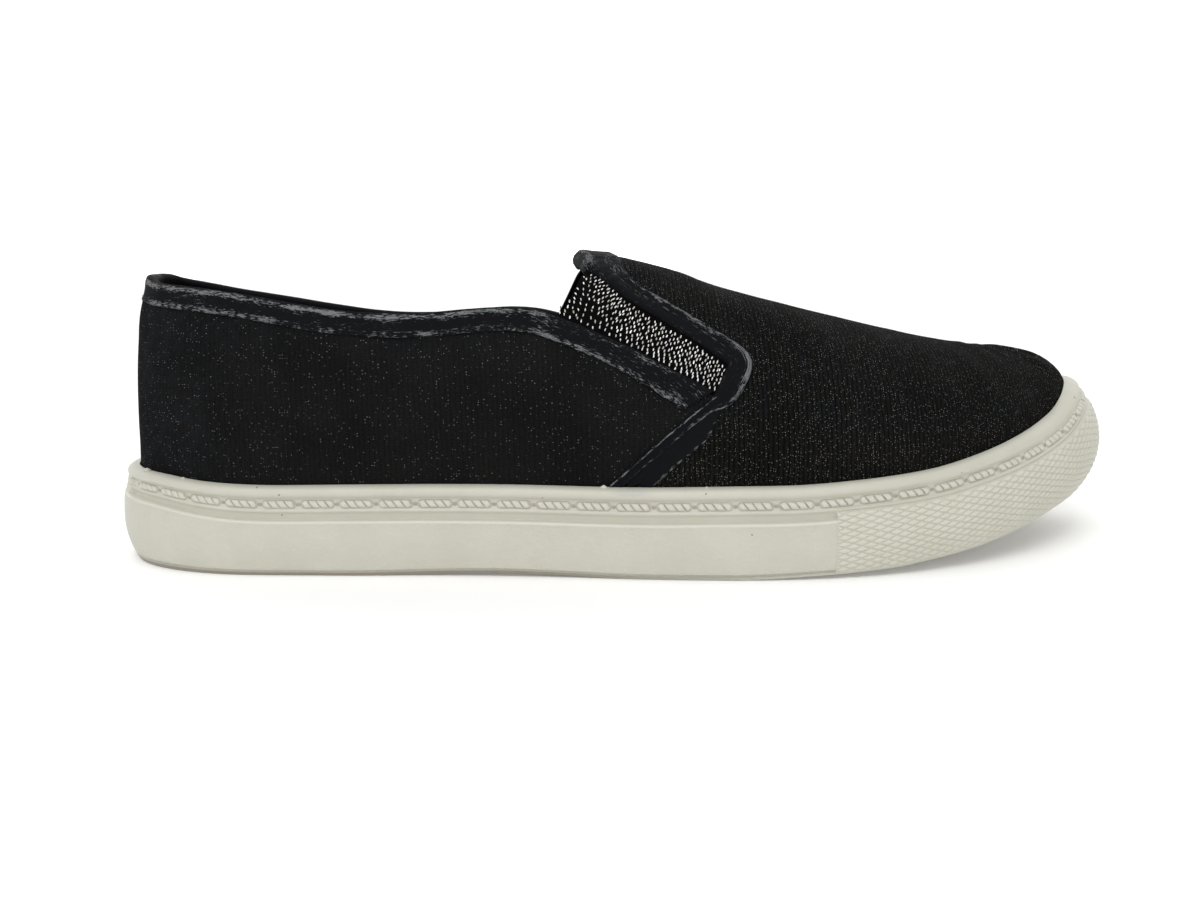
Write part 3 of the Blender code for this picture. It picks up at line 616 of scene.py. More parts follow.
class Look:
    """A material, with short ways to add nodes to its tree."""

    def __init__(self, name, colour, roughness, **sockets):
        self.material = bpy.data.materials.new(name)
        self.material.use_nodes = True
        self.material.diffuse_color = rgb(*colour)
        self.tree = self.material.node_tree
        self.shader = self.tree.nodes["Principled BSDF"]
        self.shader.inputs["Base Color"].default_value = rgb(*colour)
        self.shader.inputs["Roughness"].default_value = roughness
        for key, value in sockets.items():
            self.shader.inputs[key.replace("_", " ")].default_value = value

    def feed(self, socket, value):
        if isinstance(value, Value):
            self.tree.links.new(value.socket, socket)
        else:
            socket.default_value = value

    def node(self, kind, inputs=None, output=0, **settings):
        node = self.tree.nodes.new(kind)
        for name, value in settings.items():
            setattr(node, name, value)
        for key, value in (inputs or {}).items():
            self.feed(node.inputs[key], value)
        return Value(self, node.outputs[output])

    def noise(self, place, scale, detail=2.0, roughness=0.5):
        inputs = {"Vector": place, "Scale": scale, "Detail": detail, "Roughness": roughness}
        return self.node("ShaderNodeTexNoise", inputs)

    def cells(self, place, scale, randomness):
        """How far the middle of the nearest of scattered cells lies; their colours are random."""
        inputs = {"Vector": place, "Scale": scale, "Randomness": randomness}
        return self.node("ShaderNodeTexVoronoi", inputs, voronoi_dimensions="2D")

    def mix(self, share, first, second, blend="MIX"):
        pair = [colour if isinstance(colour, Value) else rgb(*colour) for colour in (first, second)]
        inputs = {0: share, 6: pair[0], 7: pair[1]}
        return self.node("ShaderNodeMix", inputs, 2, data_type="RGBA", blend_type=blend)

    def cloth(self):
        """The flat place on the cloth, in metres, as two numbers and a vector."""
        place = self.node("ShaderNodeUVMap", uv_map="cloth")
        along = self.parts(place)
        return along, along.other("Y"), place

    def parts(self, place):
        """The first coordinate of a place; the others are other outputs."""
        return self.node("ShaderNodeSeparateXYZ", {0: place})

    def tone(self):
        return self.node("ShaderNodeAttribute", output="Fac", attribute_name="tone")

    def place(self):
        return self.node("ShaderNodeTexCoord", output="Object")

    def drawn(self, place, share):
        """The place with its first axis shortened, so that a texture is drawn out along it."""
        return self.node("ShaderNodeMapping", {"Vector": place, "Scale": (share, 1.0, 1.0)})

    def finish(self, tint, relief=None, distance=0.0, strength=1.0):
        """Gives the shader its colour and its bumps of this depth, and returns the material."""
        self.feed(self.shader.inputs["Base Color"], tint)
        if relief is not None:
            inputs = {"Height": relief, "Distance": distance, "Strength": strength}
            self.feed(self.shader.inputs["Normal"], self.node("ShaderNodeBump", inputs))
        return self.material


def knit_material(name, warm, painted_sheen, column, row, rib, stitch, specks):
    """Knit in columns and rows of these pitches, the strength of both, its glitter and a painted
    sheen.
    """
    sheen = {"Sheen_Weight": 0.004, "Sheen_Roughness": 0.4}
    look = Look(name, (0.009, 0.009, 0.009), 0.85, Specular_IOR_Level=0.012, **sheen)
    along, up, place = look.cloth()
    across = along / column + (look.noise(place, 210) - 0.5) * 0.75
    level = up / row + abs(across.maths("FLOOR")) % 2.0 * 0.35
    wale, course = (abs((turn * math.pi).maths("SINE")) ** 0.55 for turn in (across, level))
    fibre = look.noise(place, 5200, 3, 0.75)
    streak = look.noise(look.drawn(place, 0.3), 3600, 2, 0.6)
    light = wale * (1.05 * rib) + (1 - 0.75 * rib - 0.4 * stitch) + course * (0.5 * stitch)
    light = light * fibre.ramp(0.3, 0.7, 0.55, 1.45) * streak.ramp(0.3, 0.7, 0.75, 1.25)
    light = light * look.noise(place, 55, 3).ramp(0.3, 0.7, 0.86, 1.16)
    shade = look.node("ShaderNodeCombineColor", dict.fromkeys(range(3), light))
    # painted sheen: where the mesh's tone is high the knit takes the lighter, bluer sheen tint
    tint = look.mix(1.0, look.mix(look.tone(), warm, painted_sheen), shade, "MULTIPLY")
    # glitter: a few of the loops hold a bright speck
    loops = look.node("ShaderNodeCombineXYZ", {0: across, 1: up / column})
    cells = look.cells(loops, 1.9, 0.85)
    chance = look.node("ShaderNodeSeparateColor", {0: cells.other("Color")})
    chosen = chance > (1 - specks) - (look.noise(place, 130) - 0.5) * specks
    gleam = chance.other(1).ramp(0.0, 1.0, 0.05, 1.0) ** 2.0
    spark = chosen * cells.ramp(0.05, 0.13, 1.0, 0.0) * gleam
    tint = look.mix(spark, tint, (0.52, 0.52, 0.50))
    return look.finish(tint, wale * rib + course * stitch + fibre * 0.3, 0.00025, 0.85)


SUEDE_COVER = 0.5


def suede_material(name, grey):
    """Short nap rubbed grey, as wear and painted highlight, where the tone of the mesh is high, in
    ragged lines.
    """
    sheen = {"Sheen_Weight": 0.008, "Sheen_Roughness": 0.4}
    look = Look(name, (0.008, 0.008, 0.009), 0.75, Specular_IOR_Level=0.04, **sheen)
    place = look.cloth()[2]
    drawn = look.drawn(place, 0.3)
    streaks = look.noise(drawn, 2900, 3, 0.75)
    patches = look.noise(drawn, 420, 3, 0.6)
    lines = look.noise(look.drawn(place, 0.09), 5200, 2, 0.6)
    nap = look.noise(place, 4200, 3, 0.7)
    tone = look.tone()
    # rubbed wear and painted highlight: the grey goes where the tone is high, along the tapes'
    # rolled edges and folds, and as painted light over the collar's heel back
    worn = tone + ((streaks - 0.5) * 1.9 + (lines - 0.5) * 1.9 + (patches - 0.5) * 1.7)
    worn = worn.ramp(SUEDE_COVER, SUEDE_COVER + 0.22) * tone.ramp(0.02, 0.2)
    tint = look.mix(nap, (0.0032, 0.0035, 0.0044), (0.0080, 0.0086, 0.0102))
    bright = look.mix(nap.ramp(0.35, 0.65), [0.45 * value for value in grey], grey)
    tint = look.mix(worn, tint, bright)
    browned = look.mix(1.0, tint, (1.0, 0.86, 0.78), "MULTIPLY")
    tint = look.mix(look.parts(look.place()).ramp(-0.1290, -0.1130, 1.0, 0.0), tint, browned)
    return look.finish(tint, streaks + patches * 0.8, 0.0002, 0.8)


# Sole rubber
ROPE_DROP = 0.0046
ROPE_PITCH = 0.009815
ROPE_START = 0.02103
ROPE_HALF = 0.00095
ROPE_SLANT = 0.70
ROPE_STRAND = 0.00213
ROPE_HEIGHT = 0.00052
ROPE_CUT = 0.00014
ROPE_CUT_DEPTH = 0.00042
# A faint grey smear on the bead: its place along and below the rim, and its size there
SMEAR_PLACE = (0.153, 0.0009)
SMEAR_SIZE = (0.0055, 0.0011)


def rubber_material():
    coat = {"Coat_Weight": 0.04, "Coat_Roughness": 0.4}
    look = Look("sole_rubber_satin", (0.6, 0.585, 0.5), 0.46, Specular_IOR_Level=0.42, **coat)
    along, drop, place = look.cloth()
    outside_patch = 1.0 - look.tone()
    plain = look.noise(place, 70, 3, 0.6).ramp(0.3, 0.7)
    tint = look.mix(plain, (0.500, 0.490, 0.414), (0.526, 0.518, 0.442))
    # thin dark brown line round each moulded stitch
    centred = ((along - ROPE_START) / ROPE_PITCH).maths("FRACT") - 0.5
    past = abs(centred) * ROPE_PITCH - (ROPE_PITCH / 2 - 0.00062 - ROPE_HALF)
    edge = (past.maths("MAXIMUM", 0.0) ** 2.0 + (drop - ROPE_DROP) ** 2.0).maths("SQRT")
    line = abs(edge - (ROPE_HALF + 0.00004)).ramp(0.0, 0.00026, 1.0, 0.0)
    line = line * look.noise(place, 240, 3, 0.6).ramp(0.25, 0.7, 0.35, 1.0)
    tint = look.mix(line * drop.ramp(0.0, 0.0001) * 0.62, tint, (0.25, 0.21, 0.14))
    # painted shade: the recessed strip between the rope and the ledge is darkened
    strip = drop.ramp(0.0066, 0.0071) * drop.ramp(0.0083, 0.0088, 1.0, 0.0) * outside_patch
    tint = look.mix(strip * 0.35, tint, (0.45, 0.43, 0.35))
    # painted highlight: the ledge's crest is lightened where light from above catches it
    ledge = drop.ramp(0.0084, 0.0087) * drop.ramp(0.0090, 0.0096, 1.0, 0.0) * outside_patch
    tint = look.mix(ledge * 0.7, tint, (0.62, 0.615, 0.54))
    # leather grain below the ledge
    soft = look.noise(place, 1000, 4, 0.65)
    grain = look.cells(place, 1300.0, 1.0) * 0.8 + soft
    grain = grain * (drop.ramp(0.0089, 0.0094) * outside_patch)
    smear = ((along - SMEAR_PLACE[0]) / SMEAR_SIZE[0]) ** 2.0
    smear = smear + ((drop - SMEAR_PLACE[1]) / SMEAR_SIZE[1]) ** 2.0
    smear = smear.ramp(0.1, 1.0, 1.0, 0.0) * soft.ramp(0.3, 0.6, 0.3, 1.0)
    tint = look.mix(smear * 0.4, tint, (0.36, 0.38, 0.39))
    # painted contact shadow: a brown line along the bottom edge, from the heel's back forward
    foot = drop.ramp(FOOT_FLAT, 0.0996) * along.ramp(0.12, 0.20, 1.0, 0.0)
    tint = look.mix(foot * 0.75, tint, (0.20, 0.16, 0.11))
    relief = grain * 0.7 + look.noise(place, 350, 3, 0.55) * 0.25
    return look.finish(tint, relief, 0.00022, 0.8)


# The toe patch's diamonds: their pitch round the toe and down it
DIAMOND_RUN = 0.0043
DIAMOND_RISE = 0.00163
DIAMOND_HEIGHT = 0.00034


def patch_material():
    look = Look("toe_patch_rubber", (0.56, 0.55, 0.47), 0.46, Specular_IOR_Level=0.42)
    along, fall, place = look.cloth()
    across = along / DIAMOND_RUN
    up = fall / DIAMOND_RISE
    turns = (across + up, across - up)
    faces = [(0.5 - abs(turn.maths("FRACT") - 0.5)).ramp(0.02, 0.17) for turn in turns]
    lattice = faces[0].maths("MINIMUM", faces[1])
    plain = look.noise(place, 70, 3, 0.6).ramp(0.3, 0.7)
    tint = look.mix(plain, (0.548, 0.540, 0.455), (0.575, 0.568, 0.488))
    # painted shade: the grooves between the diamonds are darkened
    tint = look.mix((1.0 - lattice) * 0.5, tint, (0.42, 0.405, 0.32))
    return look.finish(tint, lattice + look.noise(place, 1800, 3) * 0.12, 0.00012, 0.8)


def tread_material():
    look = Look("sole_tread_rubber", (0.58, 0.56, 0.47), 0.6, Specular_IOR_Level=0.35)
    place = look.place()
    forward = look.parts(place)
    zigzag = forward.other("Y").maths("PINGPONG", 0.003)
    relief = ((forward + zigzag) * 4100.0).maths("SINE") + look.noise(place, 700, 3, 0.6)
    stain = look.noise(place, 60, 4, 0.65).ramp(0.3, 0.75)
    tint = look.mix(stain, (0.52, 0.50, 0.42), (0.44, 0.41, 0.33))
    return look.finish(tint, relief, 0.0002, 0.8)


def rope_material():
    look = Look("sole_rope_rubber", (0.68, 0.66, 0.57), 0.42, Specular_IOR_Level=0.45)
    tint = look.mix(look.tone() * 0.85, (0.54, 0.535, 0.465), (0.27, 0.23, 0.16))
    return look.finish(tint, look.noise(look.cloth()[2], 2400, 3, 0.6), 0.0001, 0.5)


def lining_material():
    sheen = {"Sheen_Weight": 0.01, "Sheen_Roughness": 0.5}
    look = Look("lining_cloth", (0.014, 0.009, 0.009), 0.9, Specular_IOR_Level=0.06, **sheen)
    weave = look.noise(look.place(), 2600, 3, 0.7)
    tint = look.mix(weave, (0.010, 0.007, 0.007), (0.026, 0.019, 0.018))
    return look.finish(tint, weave, 0.0002, 0.6)


# The elastic's flecks: pitch along and up, shift from row to row, tilt and half their size
FLECK_RUN = 0.00152
FLECK_RISE = 0.00080
FLECK_SHIFT = 0.00046
FLECK_TILT = 1.83
FLECK_HALF = (0.00046, 0.00018)
FLECK_HEIGHT = 0.00018
GORE_RIB = 0.0005


def gore_material():
    look = Look("gore_black_elastic", (0.002, 0.002, 0.002), 0.75, Specular_IOR_Level=0.02)
    along, up, place = look.cloth()
    ribs = (along * (2 * math.pi / GORE_RIB)).maths("SINE")
    rows = (up * (2 * math.pi / FLECK_RISE)).maths("SINE")
    fibre = look.noise(place, 3000, 2, 0.6)
    tint = look.mix(fibre, (0.0012, 0.0012, 0.0014), (0.0050, 0.0048, 0.0046))
    return look.finish(tint, ribs + rows * 1.4, 0.00012, 0.7)


def fleck_material():
    look = Look("gore_silver_yarn", (0.75, 0.74, 0.72), 0.36, Specular_IOR_Level=0.7)
    grain = look.noise(look.place(), 2600, 3, 0.7)
    tint = look.mix(look.tone(), (0.34, 0.31, 0.26), (1.0, 1.0, 1.0))
    tint = look.mix(grain.ramp(0.35, 0.6, 0.4, 0.0), tint, (0.09, 0.08, 0.065))
    return look.finish(tint)


def thread_material():
    look = Look("seam_thread", (0.02, 0.02, 0.022), 0.6, Specular_IOR_Level=0.1)
    worn = look.noise(look.place(), 420, 3, 0.7).ramp(0.42, 0.68)
    return look.finish(look.mix(worn, (0.009, 0.009, 0.010), (0.085, 0.088, 0.092)))


# The sole's side, finer than the solid's: drop below the rim, share of the height that is left
# below the ledge, and insets of the plain side, the toe patch and the heel plate, in millimetres.
FINE_SIDE = [
    (0, 0, 2.6, 2.6, 2.6), (0.05, 0, 2.05, 2.05, 2.05), (0.2, 0, 1.45, 1.45, 1.45),
    (0.45, 0, 0.95, 0.95, 0.95), (0.8, 0, 0.55, 0.55, 0.55), (1.2, 0, 0.3, 0.3, 0.3),
    (1.65, 0, 0.2, 0.2, 0.2), (2.1, 0, 0.24, 0.24, 0.24), (2.5, 0, 0.42, 0.42, 0.36),
    (2.8, 0, 0.68, 0.68, 0.46), (3.02, 0, 0.98, 0.98, 0.52), (3.2, 0, 1.18, 1.18, 0.55),
    (3.4, 0, 1.24, 1.24, 0.55), (4.6, 0, 1.22, 1.22, 0.52), (5.6, 0, 1.2, 1.16, 0.5),
    (5.8, 0, 1.14, 0.96, 0.49), (5.95, 0, 1.02, 0.62, 0.48), (6.1, 0, 0.94, 0.42, 0.46),
    (6.3, 0, 0.92, 0.4, 0.44), (6.5, 0, 0.97, 0.55, 0.42), (6.66, 0, 1.06, 0.62, 0.4),
    (6.8, 0, 1.16, 0.4, 0.4), (7, 0, 1.24, 0.16, 0.38), (7.3, 0, 1.28, 0.06, 0.36),
    (8.2, 0, 1.28, 0, 0.3), (8.4, 0, 1.22, -0.02, 0.26), (8.5, 0, 0.86, -0.03, 0.22),
    (8.56, 0, 0.3, -0.04, 0.16), (8.66, 0, -0.12, -0.05, 0.06), (8.84, 0, -0.34, -0.06, -0.04),
    (9.1, 0, -0.36, -0.08, -0.1), (9.3, 0, -0.26, -0.1, -0.14), (9.4, 0.02, -0.2, -0.12, -0.18),
    (9.4, 0.1, -0.2, -0.18, -0.24), (9.4, 0.22, -0.3, -0.28, -0.36),
    (9.4, 0.36, -0.42, -0.36, -0.48), (9.4, 0.5, -0.5, -0.4, -0.58),
    (9.4, 0.64, -0.5, -0.38, -0.56), (9.4, 0.78, -0.42, -0.28, -0.46),
    (9.4, 0.88, -0.28, -0.12, -0.3), (9.4, 0.94, -0.14, 0.02, -0.16), (9.4, 0.97, 0, 0.14, 0),
    (9.4, 0.99, 0.16, 0.24, 0.16), (9.4, 1, 0.5, 0.5, 0.5),
]
TREAD_DEPTH = 0.0014
# Drops in millimetres where the channel's upper and lower wall begin and end
CHANNEL_TOP = (2.6, 3.3)
CHANNEL_BOTTOM = (5.6, 6.1)
CHANNEL_TOE_LIFT = 0.00055
# Drops where the toe patch starts, as a shape and as a tone
PATCH_TOP = 0.0067
PATCH_TONE_TOP = 0.0068
# Flat places of the lowest rows, past all others, for the painted contact shadow at the bottom edge
FOOT_FLAT = 0.0975
UNDER_FLAT = 0.0999


def side_squeeze(around):
    """The rope lies nearer the rim at heel and toe than along the waist."""
    arc = arc_of(around)
    arc = np.minimum(arc, WHOLE_REACH - arc)
    return 0.80 + 0.20 * step_curve(0.012, 0.060, arc) - 0.20 * step_curve(0.250, 0.300, arc)


def side_blend(around, edge):
    """From 0 to 1 over this edge of the side, the same on both sides of the shoe."""
    distance = np.minimum(around, 1 - around)
    half = 0.00035 / WHOLE_REACH
    return step_curve(edge - half, edge + half, distance)


def toe_lift(around):
    """How much shallower the channel is round the toe, in metres."""
    arc = arc_of(around)
    return CHANNEL_TOE_LIFT * step_curve(0.240, 0.290, np.minimum(arc, WHOLE_REACH - arc))


def side_point(around, drop, inset):
    """A point of the sole's side from its drop below the rim and its inset, in metres."""
    plan = outline(around)[0]
    rim = rim_height(along_of(plan[..., 0]))
    return wall_point(around, rim - drop * side_squeeze(around), inset)


def sole_around():
    edges = [place + nudge for place in (PATCH_PLACE, PLATE_PLACE) for nudge in (-6e-4, 0, 6e-4)]
    half = np.linspace(0, 0.5, SOLE_STATIONS // 2 + 1)
    half = np.sort(np.concatenate([half, edges]))
    return np.concatenate([half, 1 - half[-2::-1]])


def make_sole(rubber):
    around = sole_around()
    arc = arc_of(around)
    along = along_of(outline(around)[0][:, 0])
    rim = rim_height(along)
    ground = ground_height(along)
    floor = floor_height(along)
    squeeze = side_squeeze(around)
    patch = side_blend(around, PATCH_PLACE)
    plate = 1 - side_blend(around, PLATE_PLACE)
    none = np.zeros_like(arc)
    rows = []
    for share in (0, 0.6, 1):
        ring = wall_point(around, floor + (rim - floor) * share, CUP_WALL, under=False)
        rows.append((ring, 0.003 * share - 0.004, none))
    for drop_mm, share, plain_inset, patch_inset, plate_inset in FINE_SIDE:
        drop = drop_mm / 1000
        height = rim - drop * squeeze
        height = height - (height - ground) * share
        inset = (plain_inset * (1 - patch) + patch_inset * patch) * (1 - plate)
        channel = step_curve(*CHANNEL_TOP, drop_mm) - step_curve(*CHANNEL_BOTTOM, drop_mm)
        inset = (inset + plate_inset * plate) / 1000 - toe_lift(around) * float(channel)
        below = share * 0.0136 if share < 0.9 else FOOT_FLAT + (share - 0.9) * 0.024
        tone = patch * (drop > PATCH_TONE_TOP)
        rows.append((wall_point(around, height, inset), drop + below, tone))
    low = wall_point(around, ground, 0.0015)
    high = wall_point(around, ground, 0.0018) + np.array([0, 0, TREAD_DEPTH])
    rows += [(low, UNDER_FLAT, none), (high, UNDER_FLAT, none)]
    flats = [np.stack([arc, np.full_like(arc, level)], -1) for _, level, _ in rows]
    rings = [ring for ring, _, _ in rows]
    skin = Skin()
    skin.grid(rings, np.array(flats), tone=np.array([tone for _, _, tone in rows]))
    skin.cap(rings[0][:-1], 6)
    skin.cap(rings[-1][:-1], 6)
    sole = skin.piece("sole_shell", [rubber], sharp=60)
    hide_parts("sole")


def rope_centres():
    count = int((WHOLE_REACH - 0.016 - ROPE_START) / ROPE_PITCH)
    return ROPE_START + ROPE_PITCH * np.arange(count + 1)


def make_rope(material):
    """The moulded twisted stitches in their channel, each a low dome cut by slanting lines."""
    skin = Skin()
    marks = rope_centres()
    half_length = ROPE_PITCH / 2 - 0.00066
    u = np.linspace(-1, 1, 60)
    v = np.linspace(-1, 1, 11)
    run = np.sign(u) * np.abs(u) ** 0.85 * half_length
    rise = np.sin(v * math.pi / 2) * ROPE_HALF
    across, down = np.meshgrid(run, rise)
    past = np.maximum(np.abs(across) - (half_length - ROPE_HALF), 0)
    edge = np.sqrt(past**2 + down**2) / ROPE_HALF
    dome = np.sqrt(np.clip(1 - edge**2.4, 0, 1))
    for index, mark in enumerate(marks[:-1]):
        turn = (across - down * ROPE_SLANT) / ROPE_STRAND + 0.13 * math.sin(index * 2.1)
        away = np.abs(turn - np.round(turn)) * ROPE_STRAND
        cut = np.exp(-((away / ROPE_CUT) ** 2))
        plump = np.clip(1 - (np.abs(turn - np.floor(turn) - 0.5) * 2) ** 4, 0, 1)
        height = dome * (ROPE_HEIGHT + 0.00016 * plump) - cut * ROPE_CUT_DEPTH * dome
        # the dome's footprint is drawn in towards a capsule
        limit = np.sqrt(np.clip(1 - (past / ROPE_HALF) ** 2, 0, 1)) * (1 - 0.10 * cut)
        around = around_of(mark + ROPE_PITCH / 2 + across)
        place = side_point(around, ROPE_DROP + down * limit, 0.00136 - height - toe_lift(around))
        skin.grid(place, np.stack([mark + across, 0.2 + down], -1), tone=cut)
    rope = skin.piece("sole_rope_stitches", [material], sharp=70)


def make_dots(material):
    """The small pits between the stitches, as dark discs whose colour is painted shade."""
    skin = Skin()
    turns = np.linspace(0, 2 * math.pi, 13)
    shape = ((0.00002, 0.00112), (0.00038, 0.00112), (0.00054, 0.00116), (0.00060, 0.00126))
    for mark in rope_centres():
        rows = []
        for size, inset in shape:
            around = around_of(mark + size * np.cos(turns))
            drop = ROPE_DROP + 0.85 * size * np.sin(turns)
            rows.append(side_point(around, drop, inset - toe_lift(around)))
        skin.grid(rows)
    dots = skin.piece("sole_rope_pits", [material], weld=1e-7, sharp=80)


# Small things on the sole's side: length from the heel, drop below the rim and size, in metres
SPECKS = [
    (0.05974, 0.00030, 0.00016), (0.06567, 0.00192, 0.00019), (0.06573, 0.00725, 0.00018),
    (0.08419, 0.00481, 0.00016), (0.13133, 0.00270, 0.00015), (0.17103, 0.00116, 0.00017),
    (0.18195, 0.01119, 0.00017), (0.09012, 0.01420, 0.00014), (0.23510, 0.00210, 0.00014),
    (0.29020, 0.00120, 0.00022), (0.40210, 0.00170, 0.00020), (0.52030, 0.00820, 0.00022),
]
GLUE = [
    (0.0236, 0.00095), (0.0384, 0.00060), (0.1462, 0.00085), (0.1712, 0.00045), (0.4310, 0.00060),
]


def drop_inset(drop):
    """The inset of the plain side at this drop, in metres."""
    rows = np.array([row for row in FINE_SIDE if row[1] == 0])
    return np.interp(drop * 1000, rows[:, 0], rows[:, 2]) / 1000


def make_marks(dark, glue):
    """Dark specks on the sole's side and beads of dried glue on its rim."""
    turns = np.linspace(0, 2 * math.pi, 9)
    skin = Skin()
    for arc, drop, size in SPECKS:
        rows = []
        for share, proud in ((0.02, 0.06), (0.7, 0.05), (1.0, 0.0)):
            ring = size * share * (1 + 0.3 * np.sin(2 * turns + arc * 900))
            spot = drop + ring * np.sin(turns)
            around = around_of(arc + ring * np.cos(turns))
            rows.append(side_point(around, spot, drop_inset(spot) - proud / 1000 - 0.00001))
        skin.grid(rows)
    marks = skin.piece("sole_specks", [dark], weld=1e-7, sharp=80)
    turns = np.linspace(0, 2 * math.pi, 15)
    skin = Skin()
    for arc, size in GLUE:
        centre = side_point(around_of(arc), 0.0001, 0.0021)
        rows = []
        for lift in np.linspace(-math.pi / 2, math.pi / 2, 9):
            lump = size * (1 + 0.14 * np.sin(3 * turns + arc * 500) + 0.1 * math.sin(5 * lift))
            flat = math.cos(lift)
            high = np.full_like(turns, math.sin(lift)) * 0.75
            ring = np.stack([np.cos(turns) * flat, np.sin(turns) * flat * 0.6, high], -1)
            rows.append(centre + ring * lump[:, None])
        skin.grid(rows)
    beads = skin.piece("sole_glue_beads", [glue], weld=1e-7, sharp=80)


# The toe patch: share of its height, and inset in millimetres
PATCH_ROWS = [
    (0.0, 0.62), (0.012, 0.30), (0.03, 0.02), (0.06, -0.14), (0.25, -0.34), (0.5, -0.50),
    (0.7, -0.46), (0.85, -0.26), (0.93, -0.08), (0.97, 0.08), (1.0, 0.42),
]


def make_patch(material):
    """The toe patch with its raised diamonds."""
    edge = PATCH_PLACE + 0.0001
    around = np.linspace(edge, 1 - edge, 721)
    along = along_of(outline(around)[0][:, 0])
    rim = rim_height(along)
    ground = ground_height(along)
    top = rim - PATCH_TOP * side_squeeze(around)
    shares = np.concatenate([[0, 0.008, 0.016], np.linspace(0.03, 0.96, 50), [0.975, 0.99, 1]])
    base = np.interp(shares, *np.array(PATCH_ROWS).T)
    arc = arc_of(around)
    across = arc / DIAMOND_RUN
    ends = step_curve(0.0, 0.0005, np.minimum(arc - arc[0], arc[-1] - arc))
    rings, flats = [], []
    for share, inset in zip(shares, base):
        height = top + (ground + 0.0002 - top) * share
        fall = rim - height
        up = fall / DIAMOND_RISE
        lattice = 1
        for turn in (across + up, across - up):
            lattice = lattice * (1 - (1 - np.abs(turn - np.round(turn)) * 2) ** 3)
        border = step_curve(0.0, 0.03, share) * (1 - step_curve(0.95, 0.99, share)) * ends
        rise = DIAMOND_HEIGHT * lattice * border + 0.0002 * ends
        rings.append(wall_point(around, height, inset / 1000 + 0.0003 - rise))
        flats.append(np.stack([arc, fall], -1))
    skin = Skin()
    skin.grid(rings, np.array(flats))
    patch = skin.piece("sole_toe_patch", [material], sharp=75)


def make_tread(material):
    """The tread plate under the sole with grooves across it."""
    share = np.linspace(0, 0.5, 151)
    around = np.concatenate([share, 1 - share[-2:0:-1]])
    along = along_of(outline(around)[0][:, 0])
    low = wall_point(around, ground_height(along), 0.0017)
    high = low + np.array([0, 0, TREAD_DEPTH + 0.0003])
    skin = Skin()
    skin.grid([np.concatenate([ring, ring[:1]]) for ring in (high, low)])
    skin.cap(high, 8)
    skin.cap(low, 8)
    tread = skin.piece("sole_tread", [material], sharp=30)
    marks = np.linspace(0, 0.5, OUTLINE_MARKS)
    outer = outline(marks)[0]
    inner = outline(1 - marks)[0]
    work = bmesh.new()
    for x in np.arange((TREAD_START - 0.5) * LENGTH, (TREAD_END - 0.5) * LENGTH, GROOVE_PITCH):
        near = np.interp(x, outer[:, 0], outer[:, 1]) + GROOVE_BORDER
        far = np.interp(x, inner[:, 0], inner[:, 1]) - GROOVE_BORDER
        size = Matrix.Diagonal((GROOVE_WIDTH, far - near, 2 * GROOVE_DEPTH, 1))
        place = Matrix.Translation((x, (near + far) / 2, ground_height(along_of(x))))
        bmesh.ops.create_cube(work, size=1, matrix=place @ size)
    mesh = bpy.data.meshes.new("grooves")
    work.to_mesh(mesh)
    work.free()
    cutter = add_object("grooves", mesh)
    cut = tread.modifiers.new("grooves", "BOOLEAN")
    cut.object = cutter
    cut.operation = "DIFFERENCE"
    cut.solver = "EXACT"
    bpy.context.view_layer.update()
    grooved = tread.evaluated_get(bpy.context.evaluated_depsgraph_get())
    grooved = bpy.data.meshes.new_from_object(grooved)
    tread.modifiers.clear()
    tread.data = grooved
    bpy.data.objects.remove(cutter)


# Upper. The elastic's front end leans a little off the rib where the solid's window ends.
LEAN_LOW = (-0.0022, 0.006)
LEAN_HIGH = (0.0047, -0.015)


def leaned(around, up):
    """A place on the last moved a little along it, near the elastic's front end."""
    around, up = np.broadcast_arrays(np.asarray(around, float), np.asarray(up, float))
    turned = np.mod(around, 1.0)
    end = AROUND[GORE_END_STATION]
    low = float(lower_edge(end))
    high = float(upper_edge(end))
    climb = (up - low) / (high - low)
    share = np.clip(climb, 0, 1)
    past = np.where(climb < 0, -climb / 0.3, np.maximum(climb - 1, 0) / 0.8)
    fade = np.exp(-(past**2)) * np.exp(-(((np.minimum(turned, 1 - turned) - end) / 0.012) ** 2))
    sideways = LEAN_LOW[0] + (LEAN_HIGH[0] - LEAN_LOW[0]) * share
    lift = LEAN_LOW[1] + (LEAN_HIGH[1] - LEAN_LOW[1]) * share
    return around + np.where(turned < 0.5, 1, -1) * sideways * fade, np.clip(up + lift * fade, 0, 1)


def upper_faces():
    """Rows of the upper's outer and inner face, and the place up a rib of each row."""
    along = along_of(outline(AROUND)[0][:, 0])
    rim = rim_height(along)
    floor = floor_height(along)
    outer, inner, levels = [], [], []
    for share in np.linspace(0, 1, CUP_ROWS + 1)[:-1]:
        height = floor + (rim - floor) * share + (CLEARANCE if share == 0 else 0)
        outer.append(wall_point(AROUND, height, CUP_WALL + CLEARANCE, under=False))
        inner.append(wall_point(AROUND, height, CUP_WALL + CLEARANCE + UPPER_WALL, under=False))
        levels.append(np.zeros(STATION_COUNT))
    lower = lower_edge(AROUND)
    upper = upper_edge(AROUND)
    rows = [lower * share for share in np.linspace(0, 1, QUARTER_ROWS + 1)]
    rows += [lower + (upper - lower) * share for share in np.linspace(0, 1, BAND_ROWS + 1)[1:]]
    rows += [upper + (1 - upper) * share for share in np.linspace(0, 1, VAMP_ROWS + 1)[1:]]
    for level in rows:
        place, normal = last_sheet(*leaned(AROUND, level))
        outer.append(place + normal * cloth_relief(AROUND, level)[:, None])
        inner.append(place - normal * UPPER_WALL)
        levels.append(level)
    return join_ridge(np.array(outer)), join_ridge(np.array(inner)), np.array(levels)


